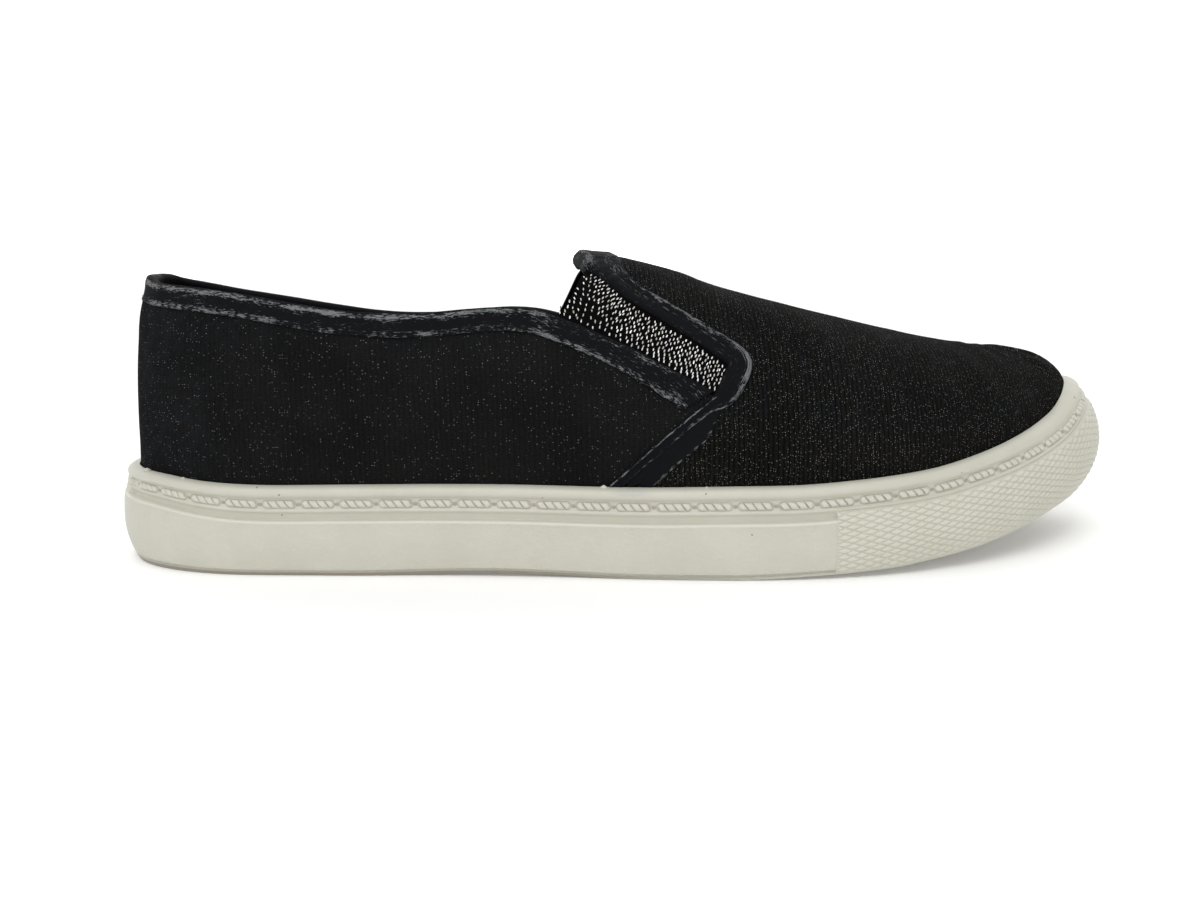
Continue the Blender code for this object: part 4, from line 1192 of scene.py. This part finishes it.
# The way to each neighbour of a cell, and the two corners of the edge between them
CELL_EDGES = (
    ((-1, 0), (0, 0), (0, 1)),
    ((1, 0), (1, 0), (1, 1)),
    ((0, -1), (0, 0), (1, 0)),
    ((0, 1), (0, 1), (1, 1)),
)


def fold_side(around):
    around = np.mod(np.asarray(around, float), 1.0)
    return np.minimum(around, 1 - around)


def near_line(around, up, line):
    """The distance on the flat cloth, in metres, from a line of (around, up) points, roughly."""
    side = fold_side(around) * 2 * OUTER_REACH
    rise = np.asarray(up) * 0.075
    best = np.full(np.broadcast(side, rise).shape, 1.0)
    spots = [(a * 2 * OUTER_REACH, u * 0.075) for a, u in line]
    for (ax, ay), (bx, by) in zip(spots, spots[1:]):
        dx, dy = bx - ax, by - ay
        share = np.clip(((side - ax) * dx + (rise - ay) * dy) / (dx * dx + dy * dy), 0, 1)
        best = np.minimum(best, np.hypot(side - ax - share * dx, rise - ay - share * dy))
    return best


# The faint ridge of the heel counter's edge, as places on the last
COUNTER_RIDGE = [
    (0.014, 0.39), (0.022, 0.33), (0.034, 0.29), (0.044, 0.23), (0.052, 0.16), (0.057, 0.08),
]


def cloth_relief(around, up):
    """Soft troughs and ridges of the cloth, in metres out from the last."""
    side = fold_side(around)
    counter = 0.00030 * np.exp(-((near_line(around, up, COUNTER_RIDGE) / 0.0022) ** 2))
    waves = (
        0.00022 * np.sin(side * 150 + 1.3) * np.sin(up * 9 + side * 31)
        + 0.00014 * np.sin(side * 263 + 4.0 * up + 0.4)
    )
    calm = step_curve(0.0, 0.06, up) * (1 - step_curve(0.85, 1.0, up))
    seam = np.abs(side - tape_line(up)) * 2 * OUTER_REACH
    pull = -0.00018 * np.exp(-((seam / 0.004) ** 2)) * step_curve(0.0, 0.05, up)
    return (counter + waves + pull) * calm


def make_upper(vamp, quarter, lining):
    # the first station comes again at the end of each row
    outer, inner, levels = (np.concatenate([a, a[:, :1]], axis=1) for a in upper_faces())
    keep = upper_cells()
    places = np.concatenate([AROUND, [1.0]])
    side = np.minimum(places, 1 - places)[None, :] + np.zeros_like(levels)
    rise = lengths_along(outer)
    corner = float(lower_edge(AROUND[GORE_END_STATION]))
    is_vamp = side > tape_line(np.minimum(levels, corner)) + 0.004
    is_vamp |= (side > AROUND[THROAT_STATION] - 1e-6) & (levels > upper_edge(places) - 1e-4)
    x = outer[..., 0]
    fall = rise - rise[-1:]
    flats_vamp = np.stack([x + 0.5 + 2.5 * np.maximum(x - 0.06, 0) ** 2, fall + 0.5], -1)
    flats_quarter = np.stack([side * 2 * OUTER_REACH, rise], -1)
    flats = np.where(is_vamp[..., None], flats_vamp, flats_quarter)
    # painted sheen: the quarter's tone is high over the heel's back and below the collar, where
    # light falls on the cloth, and tints it lighter and bluer there
    near_collar = step_curve(0.6, 1.0, levels / np.maximum(lower_edge(places), 0.1))
    painted_sheen = 1 - step_curve(0.03, 0.12, side) + 0.6 * near_collar
    cell_vamp = is_vamp[:-1, :-1] & is_vamp[:-1, 1:] & is_vamp[1:, :-1] & is_vamp[1:, 1:]
    skin = Skin()
    # each cloth has its own grid, so that the flat places don't run over the seam
    skin.grid(outer, flats_quarter, 1, keep & ~cell_vamp, np.clip(painted_sheen, 0, 1))
    skin.grid(outer, flats_vamp, 0, keep & cell_vamp)
    skin.grid(inner, flats, 2, keep)
    # walls between the faces, where a cell of fabric has no neighbour
    cloth = np.pad(keep, ((1, 1), (0, 0)))
    cloth[-1] = keep[-1]
    cloth = np.pad(cloth, ((0, 0), (1, 1)), mode="wrap")
    for row, station in np.argwhere(keep):
        for (down, sideways), start, end in CELL_EDGES:
            if not cloth[row + 1 + down, station + 1 + sideways]:
                ends = [(row + a, station + b) for a, b in (start, end)]
                skin.grid([[face[spot] for spot in ends] for face in (outer, inner)], slot=2)
    upper = skin.piece("upper_cloth", [vamp, quarter, lining], sharp=60)
    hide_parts("upper")


def make_insole(material):
    around = np.linspace(0, 1, 361)
    floor = floor_height(along_of(outline(around)[0][:, 0])) + CLEARANCE
    inset = CUP_WALL + CLEARANCE + UPPER_WALL + 2 * CLEARANCE
    rings = []
    for share, tuck in ((0, 0.0002), (0.6, 0.0), (0.85, 0.0003), (0.97, 0.0009), (1.0, 0.0018)):
        height = floor + INSOLE_THICKNESS * share
        rings.append(wall_point(around, height, inset + tuck, under=False))
    skin = Skin()
    skin.grid(rings)
    skin.cap(rings[0][:-1], 4)
    lines = paired_lines(rings[-1][:-1], 24)
    bowl = np.sin(np.linspace(0, 1, 25) * math.pi) ** 0.8
    places = along_of(lines[..., 0])
    heel = 0.0013 * step_curve(0.06, 0.16, places) * (1 - step_curve(0.34, 0.5, places))
    ball = 0.0009 * step_curve(0.5, 0.66, places) * (1 - step_curve(0.8, 0.92, places))
    lines[..., 2] -= (heel + ball) * bowl
    skin.grid(lines, lines[..., :2])
    insole = skin.piece("insole_footbed", [material], sharp=60)
    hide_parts("insole")


# Bindings and tapes
# Places on the folded tape's section from its outer free edge to its fold: share of its width,
# height over the cloth and how much a pad lifts it, in millimetres, and wear with painted highlight
# at the edge and fold.
FOLD = [
    (1, 0.03, 0, 0.4, 0), (1.012, 0.34, 0, 0.7, 0), (0.972, 0.62, 0.05, 0.95, 0),
    (0.905, 0.76, 0.15, 1, 0), (0.825, 0.7, 0.3, 0.85, 0), (0.725, 0.56, 0.45, 0.45, 0),
    (0.56, 0.5, 0.7, 0, 0), (0.38, 0.54, 0.92, 0, 0), (0.22, 0.7, 1, 0, 0.35),
    (0.095, 0.84, 1, 0, 0.95), (-0.01, 0.84, 0.92, 0, 0.95), (-0.085, 0.62, 0.7, 0, 0.4),
    (-0.15, 0.24, 0.3, 0, 0.1), (-0.17, -0.75, 0, 0, 0),
]
FOLD_REACH = 0.62
FOLD_BULGE = 5.08


def fold_section(width, pad, wobble, flat=0.0, crown=0.0):
    """A closed section of (inward, outward). Flat is 1 where the tape lies on the cloth."""
    low = -UPPER_WALL * 1000
    reach = width - FOLD_REACH
    shape = np.array(FOLD)
    top = np.stack([shape[:, 0] * reach, shape[:, 1] + shape[:, 2] * pad], -1)
    fold = top[:, 0] < 0
    top[fold, 0] = top[fold, 0] / reach * FOLD_BULGE - 0.75 * pad * np.linspace(0.3, 1, fold.sum())
    top[8:, 0] -= crown * np.array([0.3, 0.7, 1, 1, 1, 1])
    top[1:-1, 1] *= 1 + wobble
    under = np.array([(a, low - b * (0.8 if a > 0.6 else 1)) for a, b in top[-2::-1]])
    inside = [(reach * 0.68, low - 0.03), (-0.22, low - 0.03), (-0.22, 0.03), (reach * 0.68, 0.03)]
    line = np.concatenate([top, under, inside])
    resting = np.stack([np.clip(line[:, 0], -0.32, None), np.clip(line[:, 1], 0.02, None)], -1)
    return (line * (1 - flat) + resting * flat) / 1000


def fold_wear_and_highlight(edge, fold, rest):
    """Wear with painted highlight at each point of the sections, from its strength at the edge, the
    fold and all over.
    """
    wear_and_highlight = np.zeros((2 * len(FOLD) + 4, len(edge)))
    for index, row in enumerate(FOLD):
        wear_and_highlight[index] = np.maximum(np.maximum(row[3] * edge, row[4] * fold), rest)
    wear_and_highlight[-1] = wear_and_highlight[0]
    return wear_and_highlight


def strip_piece(name, materials, around, up, side, profiles, shear=None, tone=None):
    rings = strip_rings(around, up, side, profiles, shear)
    rings = np.concatenate([rings, rings[:1]])
    runs = lengths_along(rings)
    spine = lengths_along(rings[min(12, len(rings) - 2)])
    flats = np.stack([np.broadcast_to(spine, runs.shape), runs], -1)
    skin = Skin()
    skin.grid(rings, flats, tone=tone)
    for end in (0, -1):
        ring = rings[:-1, end]
        half = len(ring) // 2
        skin.grid([ring[:half], ring[::-1][:half]])
    return skin.piece(name, materials, sharp=55)


def make_collar(material):
    margin = (3 * CLEARANCE + STEP_EDGE) / OUTLINE_REACH
    end = around_where(lambda place: place - tape_line(lower_edge(place)) + margin, 0.0)
    half = [place for place in AROUND if place < end - LAST_CELL] + [end]
    around = np.array([-place for place in reversed(half[1:])] + half)
    up = lower_edge(around)
    nearness = np.clip(1 - (end - np.abs(around)) / COLLAR_SHEAR_REACH, 0, 1) ** 2
    shear = -COLLAR_SHEAR * nearness * np.sign(around)
    wobble = 0.10 * np.sin(around * 310) + 0.07 * np.sin(around * 717 + 1)
    wobble = wobble + 0.05 * np.sin(around * 1290)
    side = fold_side(around)
    crown = 1.05 * np.exp(-((side / 0.026) ** 4))
    sections = [fold_section(BINDING_WIDTH * 1000, 0, w, crown=c) for w, c in zip(wobble, crown)]
    # wear and painted highlight along the lower edge and the rolled top; the broad grey over the
    # heel's back is painted light, where light falls on it
    dashes = 0.82 + 0.18 * np.sin(side * 1500)
    edge = 0.68 - 0.24 * step_curve(0.085, 0.12, side) + 0.12 * step_curve(0.19, 0.22, side)
    edge = edge * dashes
    fold = 0.74 - 0.40 * step_curve(0.19, 0.225, side) - 0.14 * (1 - step_curve(0.012, 0.03, side))
    rest = 0.10 + 0.55 * np.exp(-((side / 0.012) ** 2)) + 0.04 * step_curve(0.17, 0.20, side)
    around, up = leaned(around, up)
    wear_and_highlight = fold_wear_and_highlight(edge, fold, rest)
    collar = strip_piece("collar_tape", [material], around, up, -1, sections, shear, wear_and_highlight)
    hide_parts("collar_binding")
    return around, up, shear


def eased_path(around, up, steps, ease):
    """A line of places with its corners rounded, at even steps; lengths in metres on the cloth."""
    middle = len(around) // 2
    place, level = around[middle], up[middle]
    rise = np.linalg.norm(last_point(place, level + 0.01) - last_point(place, level - 0.01))
    size = np.array([2 * OUTER_REACH, rise / 0.02])
    line = np.stack([around, up], -1) * size
    run = lengths_along(line)
    marks = np.linspace(0, run[-1], int(run[-1] / steps) + 1)
    line = line_at(marks, run, line)
    reach = int(3 * ease / steps)
    kernel = np.exp(-((np.arange(-reach, reach + 1) * steps / ease) ** 2) / 2)
    kernel /= kernel.sum()
    ahead = 2 * line[-1] - line[-2:-reach - 2:-1]
    behind = 2 * line[0] - line[reach:0:-1]
    padded = np.concatenate([behind, line, ahead])
    line = np.stack([np.convolve(padded[:, axis], kernel, "valid") for axis in range(2)], -1)
    return line[:, 0] / size[0], line[:, 1] / size[1], marks


def vamp_edge_path():
    """Half of the vamp's edge, from the sole up the tape and round the elastic to the throat."""
    throat = AROUND[THROAT_STATION]
    end = AROUND[GORE_END_STATION]
    low = float(lower_edge(end))
    joint = low + LEAN_LOW[1]
    tape = [(float(tape_line(up)), up) for up in np.linspace(0.0, joint, 60)]
    back = np.array([(place, float(upper_edge(place))) for place in np.linspace(end, throat, 60)])
    back = np.stack(leaned(*back.T), -1)
    line = np.concatenate([tape, np.linspace(tape[-1], back[0], 16)[1:-1], back])
    around, up, marks = eased_path(line[:, 0], line[:, 1], 0.0006, 0.0009)
    corners = []
    for place, level in (tape[-1], back[0]):
        gap = np.hypot((around - place) * 2 * OUTER_REACH, (up - level) * 0.087)
        corners.append(float(marks[np.argmin(gap)]))
    return around, up, marks, *corners


def make_vamp_binding(material):
    around, up, marks, low_corner, high_corner = vamp_edge_path()
    throat = AROUND[THROAT_STATION]
    corner, twin_corner = float(up[-1]), float(upper_edge(1 - throat))
    climb = np.linspace(0, 1, VAMP_ROWS + 1)
    middle = len(around) + VAMP_ROWS
    width = 2.7 + 2.9 * step_curve(low_corner - 0.004, low_corner + 0.004, marks)
    width = width - 0.5 * step_curve(high_corner + 0.002, high_corner + 0.010, marks)
    flat = 1 - step_curve(low_corner - 0.0015, low_corner + 0.001, marks)
    edge = 0.64 - 0.28 * (1 - step_curve(low_corner - 0.022, low_corner - 0.002, marks))
    edge = edge - 0.08 * step_curve(high_corner + 0.014, high_corner + 0.026, marks)
    fold = 0.8 - 0.72 * step_curve(low_corner - 0.003, low_corner + 0.001, marks)
    over = [throat] * VAMP_ROWS + [1 - throat] * VAMP_ROWS
    whole = np.concatenate([around, over, 1 - around[-2::-1]])
    rising = corner + (1 - corner) * climb[1:]
    falling = twin_corner + (1 - twin_corner) * climb[-2::-1]
    levels = np.concatenate([up, rising, falling, up[-2::-1]])
    span = np.arange(len(whole))

    def both(values, top):
        """Values for the whole path from those of one side and the one over the ridge."""
        return np.concatenate([values, [top] * (len(whole) - 2 * len(values)), values[::-1]])

    puff = np.clip(1.75 - np.abs(span - (middle - 1)) / (VAMP_ROWS - 1), 0, 1)
    puff = puff * puff * (3 - 2 * puff)
    widths = both(width, 5.0)
    widths = widths + (THROAT_BINDING_WIDTH * 1000 - widths) * puff
    flats = both(flat, 0.0)
    wobble = 0.09 * np.sin(span * 0.41) + 0.07 * np.sin(span * 0.83 + 1)
    wobble = wobble + 0.05 * np.sin(span * 1.37)
    rows = zip(widths, THROAT_PAD * 1000 * puff, wobble, flats)
    # wear and painted highlight along the edges and fold, with painted highlight over the puffed
    # throat
    edges = both(edge, 0.58) * (1 - 0.6 * puff)
    wear_and_highlight = fold_wear_and_highlight(edges, both(fold, 0.08) + 0.60 * puff**2, 0.10 + 0.20 * puff)
    wear_and_highlight[7:10, flats > 0.5] *= 0.2
    sections = [fold_section(*row) for row in rows]
    binding = strip_piece("vamp_edge_tape", [material], whole, levels, -1, sections, tone=wear_and_highlight)
    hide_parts("vamp_binding")
    first = int(np.searchsorted(marks, high_corner)) + 2
    seam = slice(first, len(whole) - first)
    return whole[seam], levels[seam]


# The side tape's section: place across it as a share of its width, height in millimetres, and wear
# with painted highlight
TAPE_SHAPE = [
    (0.0, 0.03, 0.0), (-0.01, 0.22, 0.0), (0.004, 0.42, 0.0), (0.04, 0.48, 0.0),
    (0.2, 0.45, 0.0), (0.5, 0.43, 0.0), (0.78, 0.45, 0.0), (0.88, 0.52, 0.10),
    (0.935, 0.54, 0.75), (0.97, 0.48, 0.85), (0.992, 0.34, 0.4), (1.0, 0.16, 0.0), (1.0, 0.03, 0.0),
]


TAPE_DASH = 0.0027


def make_side_tape(material, inner):
    name = "inner" if inner else "outer"
    around, up, marks, low_corner, _ = vamp_edge_path()
    keep = marks < low_corner + 0.002
    around, up, marks = around[keep], up[keep], marks[keep]
    around = 1 - around if inner else around
    width = TAPE_WIDTH * (1 - 0.66 * step_curve(low_corner - 0.010, low_corner + 0.002, marks))
    shape = np.array(TAPE_SHAPE)
    sections = [np.stack([shape[:, 0] * wide, shape[:, 1] / 1000], -1) for wide in width]
    # the rear edge's dashed grey line is rubbed wear with painted highlight on its rolled crest
    dashes = 0.62 + 0.38 * np.sin(marks * 2 * math.pi / TAPE_DASH)
    dashes = dashes * (0.25 + 0.75 * step_curve(0.004, 0.012, marks))
    dashes = dashes * (1 - 0.9 * step_curve(low_corner - 0.006, low_corner - 0.002, marks))
    wear_and_highlight = shape[:, 2][:, None] * dashes
    wear_and_highlight = np.concatenate([wear_and_highlight, wear_and_highlight[:1]])
    side = 1 if inner else -1
    tape = strip_piece("side_tape_" + name, [material], around, up, side, sections, tone=wear_and_highlight)
    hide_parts("vamp_tape_" + name)


# Elastic inserts
GORE_REAR = around_where(rib_foot, GORE_REAR_FOOT)


def gore_place(share_along, share_up, inner, margin=0.0012):
    """The place on the last of a spot on the elastic, from its free edge to its end and up."""
    end = AROUND[GORE_END_STATION] - CLEARANCE / OUTLINE_REACH * 2
    start = GORE_REAR + (AROUND[THROAT_STATION] - GORE_REAR) * share_up
    around = start + (end - start) * share_along
    around = 1 - around if inner else around
    low = lower_edge(around)
    high = upper_edge(around)
    height = np.linalg.norm(last_point(around, high) - last_point(around, low), axis=-1)
    below = margin / height
    return leaned(around, low + (high - low) * (below + (1 - 2 * below) * share_up))


# The cloth goes into the folds of the tapes, so that no light passes between them.
GORE_CLOTH_MARGIN = 0.0001


def make_gore(material, inner):
    name = "inner" if inner else "outer"
    along, up = np.meshgrid(np.linspace(0, 1, 71), np.linspace(0, 1, 33))
    base, normal = last_sheet(*gore_place(along, up, inner, GORE_CLOTH_MARGIN))
    middle = -UPPER_WALL / 2
    front = base + normal * (middle + GORE_WALL / 2)
    back = base + normal * (middle - GORE_WALL / 2)
    run = lengths_along(front.transpose(1, 0, 2)).T
    flats = np.stack([run, lengths_along(front)], -1)
    skin = Skin()
    skin.grid(front, flats)
    skin.grid(back, flats)
    for edge in (np.s_[0], np.s_[-1], np.s_[:, 0], np.s_[:, -1]):
        skin.grid([front[edge], back[edge]], np.stack([flats[edge], flats[edge]]))
    gore = skin.piece("gore_cloth_" + name, [material], sharp=50)
    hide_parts("gore_" + name)


FLECK_LIFT = GORE_WALL / 2 - UPPER_WALL / 2 - 0.00003


def make_flecks(material, inner):
    """The bright woven flecks of the elastic, as small raised lenses in slanting columns."""
    name = "inner" if inner else "outer"
    skin = Skin()
    random = np.random.default_rng(7 + inner)
    shares = np.linspace(0, 1, 121)
    levels = np.linspace(0, 1, 41)
    along, rise = np.meshgrid(shares, levels)
    sheet, sheet_normal = last_sheet(*gore_place(along, rise, inner))
    height = lengths_along(sheet[:, 60])[-1]
    turns = np.linspace(0, 2 * math.pi, 11)

    def sample(values, share, share_up):
        """Values of the sheet between its grid's points."""
        column, row = share * 120, share_up * 40
        left, low = int(min(column, 119)), int(min(row, 39))
        a, b = column - left, row - low
        near = values[low, left] * (1 - a) + values[low, left + 1] * a
        far = values[low + 1, left] * (1 - a) + values[low + 1, left + 1] * a
        return near * (1 - b) + far * b

    for row in range(int((height - 0.0004) / FLECK_RISE)):
        share_up = (0.00045 + row * FLECK_RISE) / height
        line = np.array([sample(sheet, share, share_up) for share in shares])
        run = lengths_along(line)
        start = 0.0003 + (-row * FLECK_SHIFT) % FLECK_RUN
        for place in np.arange(start, run[-1] - 0.0002, FLECK_RUN):
            place = max(place + random.uniform(-0.00028, 0.00028), 0.00035)
            share = float(np.interp(place, run, shares))
            up_here = share_up + random.uniform(-0.3, 0.3) * FLECK_RISE / height
            up_here = float(np.clip(up_here, 0, 1))
            normal = sample(sheet_normal, share, up_here)
            ahead = sample(sheet, min(share + 0.01, 1), up_here)
            ahead = ahead - sample(sheet, max(share - 0.01, 0), up_here)
            ahead = ahead / np.linalg.norm(ahead)
            above = np.cross(normal, ahead)
            above = above if above[2] > 0 else -above
            tilt = FLECK_TILT + random.uniform(-0.25, 0.25)
            long_way = above * math.sin(tilt) + ahead * math.cos(tilt)
            short_way = np.cross(normal, long_way)
            centre = sample(sheet, share, up_here) + normal * FLECK_LIFT
            length = FLECK_HALF[0] * random.uniform(0.8, 1.15)
            width = FLECK_HALF[1] * random.uniform(0.85, 1.15)
            rows = []
            for angle in np.linspace(0, math.pi / 2, 4):
                size = math.cos(angle)
                ring = np.outer(np.cos(turns), long_way) * length * size
                ring = ring + np.outer(np.sin(turns), short_way) * width * size
                rows.append(centre + ring + normal * FLECK_HEIGHT * math.sin(angle))
            skin.grid(rows, tone=random.uniform(0.05, 1.1) ** 0.8)
    flecks = skin.piece("gore_flecks_" + name, [material], weld=1e-7, sharp=80)


# Seams
STITCH_PITCH = 0.0028
STITCH_LENGTH = 0.0021
STITCH_RADIUS = 0.00017


def stitches_along(skin, around, up, side, inward, outward, shear=None):
    """Short threads lying on a strip, at this distance from its path and height over the cloth."""
    profiles = [np.array([(inward, outward)])] * len(around)
    line = strip_rings(around, up, side, profiles, shear)[0]
    run = lengths_along(line)
    normals = last_normal(around, np.clip(up, 0, 1))
    turns = np.linspace(0, 2 * math.pi, 7)
    last_start = run[-1] - STITCH_LENGTH - 0.0004
    for start in np.arange(STITCH_PITCH * 0.6, last_start, STITCH_PITCH):
        marks = start + np.linspace(0, STITCH_LENGTH, 6)
        centre = line_at(marks, run, line)
        normal = line_at(marks, run, normals)
        forward = np.gradient(centre, axis=0)
        forward /= np.linalg.norm(forward, axis=-1, keepdims=True)
        sideways = np.cross(normal, forward)
        bow = np.sin(np.linspace(0, math.pi, 6))
        radius = STITCH_RADIUS * (0.35 + 0.65 * bow**0.5)
        rows = []
        for turn in turns:
            rows.append(
                centre
                + normal * (0.00010 * bow + radius * math.cos(turn) - 0.00004)[:, None]
                + sideways * (radius * math.sin(turn))[:, None]
            )
        rows = np.array(rows)
        skin.grid(rows)
        skin.grid([rows[:4, 0], rows[::-1][:4, 0]])
        skin.grid([rows[:4, -1], rows[::-1][:4, -1]])


def make_seams(material, collar, vamp):
    skin = Skin()
    around, up, shear = collar
    stitches_along(skin, around, up, -1, 0.0039, 0.00052, shear=shear)
    around, up = vamp
    stitches_along(skin, around, up, -1, 0.0022, 0.00050)
    seams = skin.piece("seam_stitches", [material], weld=1e-7, sharp=80)


# Camera, lights and floor
# The camera was fitted to the photo: focal length in the photo's pixels, turn, tilt and roll in
# degrees, and its place
PHOTO_WIDTH = 1200
PHOTO_FOCAL = 1220
SENSOR_WIDTH = 36.0
CAMERA_TURNS = (-0.74, 10.2, -1.01)
CAMERA_PLACE = (-0.0094, -0.32944, 0.084)
WALL_PLACE = 2.2
WALL_HEIGHT = 3.4
LIGHT_AIM = (0, 0, 0.03)


def make_view():
    camera = bpy.data.cameras.new("photo_view")
    camera.sensor_fit = "HORIZONTAL"
    camera.sensor_width = SENSOR_WIDTH
    camera.lens = SENSOR_WIDTH * PHOTO_FOCAL / PHOTO_WIDTH
    camera.clip_start = 0.01
    camera.clip_end = 20
    yaw, pitch, roll = (math.radians(value) for value in CAMERA_TURNS)
    right = Vector((math.cos(yaw), math.sin(yaw), 0))
    level = Vector((-math.sin(yaw), math.cos(yaw), 0))
    forward = level * math.cos(pitch) + Vector((0, 0, -math.sin(pitch)))
    above = level * math.sin(pitch) + Vector((0, 0, math.cos(pitch)))
    rolled = right * math.cos(roll) + above * math.sin(roll)
    above = above * math.cos(roll) - right * math.sin(roll)
    place = Matrix((rolled, above, -forward)).transposed().to_4x4()
    place.translation = Vector(CAMERA_PLACE)
    thing = add_object("photo_view", camera)
    thing.matrix_world = place
    bpy.context.scene.camera = thing


def add_light(name, place, size, power):
    """A soft light that faces the shoe."""
    light = bpy.data.lights.new(name, "AREA")
    light.shape = "RECTANGLE"
    light.size, light.size_y = size
    light.energy = power
    thing = add_object(name, light)
    thing.location = place
    aim = Vector(LIGHT_AIM) - Vector(place)
    thing.rotation_euler = aim.to_track_quat("-Z", "Y").to_euler()


def make_stage(name, across, deep, high, material):
    skin = Skin()
    skin.grid(np.stack(np.broadcast_arrays(across, deep, high), -1))
    skin.piece(name, [material], ride=False)


def make_studio():
    white = {"Emission_Color": rgb(1, 1, 1)}
    floor = Look("studio_floor", (0.93, 0.93, 0.93), 0.85, Specular_IOR_Level=0.1,
                 Emission_Strength=0.12, **white).material
    wall = Look("studio_wall", (0.8, 0.8, 0.8), 0.9, Emission_Strength=0.9, **white).material
    across, deep = np.meshgrid(np.linspace(-4, 4, 9), np.linspace(-4, WALL_PLACE, 9))
    make_stage("studio_floor", across, deep, 0.0, floor)
    across, high = np.meshgrid(np.linspace(-4, 4, 9), np.linspace(0, WALL_HEIGHT, 9))
    make_stage("studio_wall", across, WALL_PLACE, high, wall)
    world = bpy.data.worlds.new("studio")
    bpy.context.scene.world = world
    world.use_nodes = True
    sky = world.node_tree.nodes["Background"]
    sky.inputs["Color"].default_value = rgb(1, 1, 1)
    sky.inputs["Strength"].default_value = 0.52
    add_light("key", (-0.35, -0.85, 1.15), (0.9, 0.7), 9.5)
    add_light("top", (0.15, 0.25, 1.3), (1.4, 1.2), 3.5)
    add_light("low_front", (0.25, -1.3, 0.35), (1.6, 0.6), 3.0)


def main():
    make_view()
    make_studio()
    rubber = rubber_material()
    make_sole(rubber)
    make_patch(patch_material())
    make_rope(rope_material())
    # the pits' dark colour is painted shade
    make_dots(Look("sole_pit_painted_shade", (0.335, 0.315, 0.25), 0.7).material)
    make_marks(Look("sole_speck", (0.05, 0.045, 0.04), 0.8).material, rubber)
    make_tread(tread_material())
    # each knit's tints: its own colour, then a lighter, bluer painted sheen that the mesh's tone
    # lays on
    tints = (0.0064, 0.0064, 0.0058), (0.0062, 0.0070, 0.0080)
    vamp = knit_material("vamp_knit", *tints, 0.001175, 0.00105, 0.95, 0.30, 0.60)
    tints = (0.0080, 0.0080, 0.0079), (0.0092, 0.0104, 0.0120)
    quarter = knit_material("quarter_knit", *tints, 0.00128, 0.00052, 0.30, 0.4, 0.20)
    lining = lining_material()
    make_upper(vamp, quarter, lining)
    make_insole(lining)
    collar_path = make_collar(suede_material("collar_suede", (0.21, 0.22, 0.225)))
    vamp_path = make_vamp_binding(suede_material("vamp_suede", (0.18, 0.185, 0.195)))
    elastic = gore_material()
    silver = fleck_material()
    tape_suede = suede_material("tape_suede", (0.15, 0.15, 0.155))
    for inner in (False, True):
        make_side_tape(tape_suede, inner)
        make_gore(elastic, inner)
        make_flecks(silver, inner)
    make_seams(thread_material(), collar_path, vamp_path)


main()

bpy.context.scene.view_settings.view_transform = "Standard"
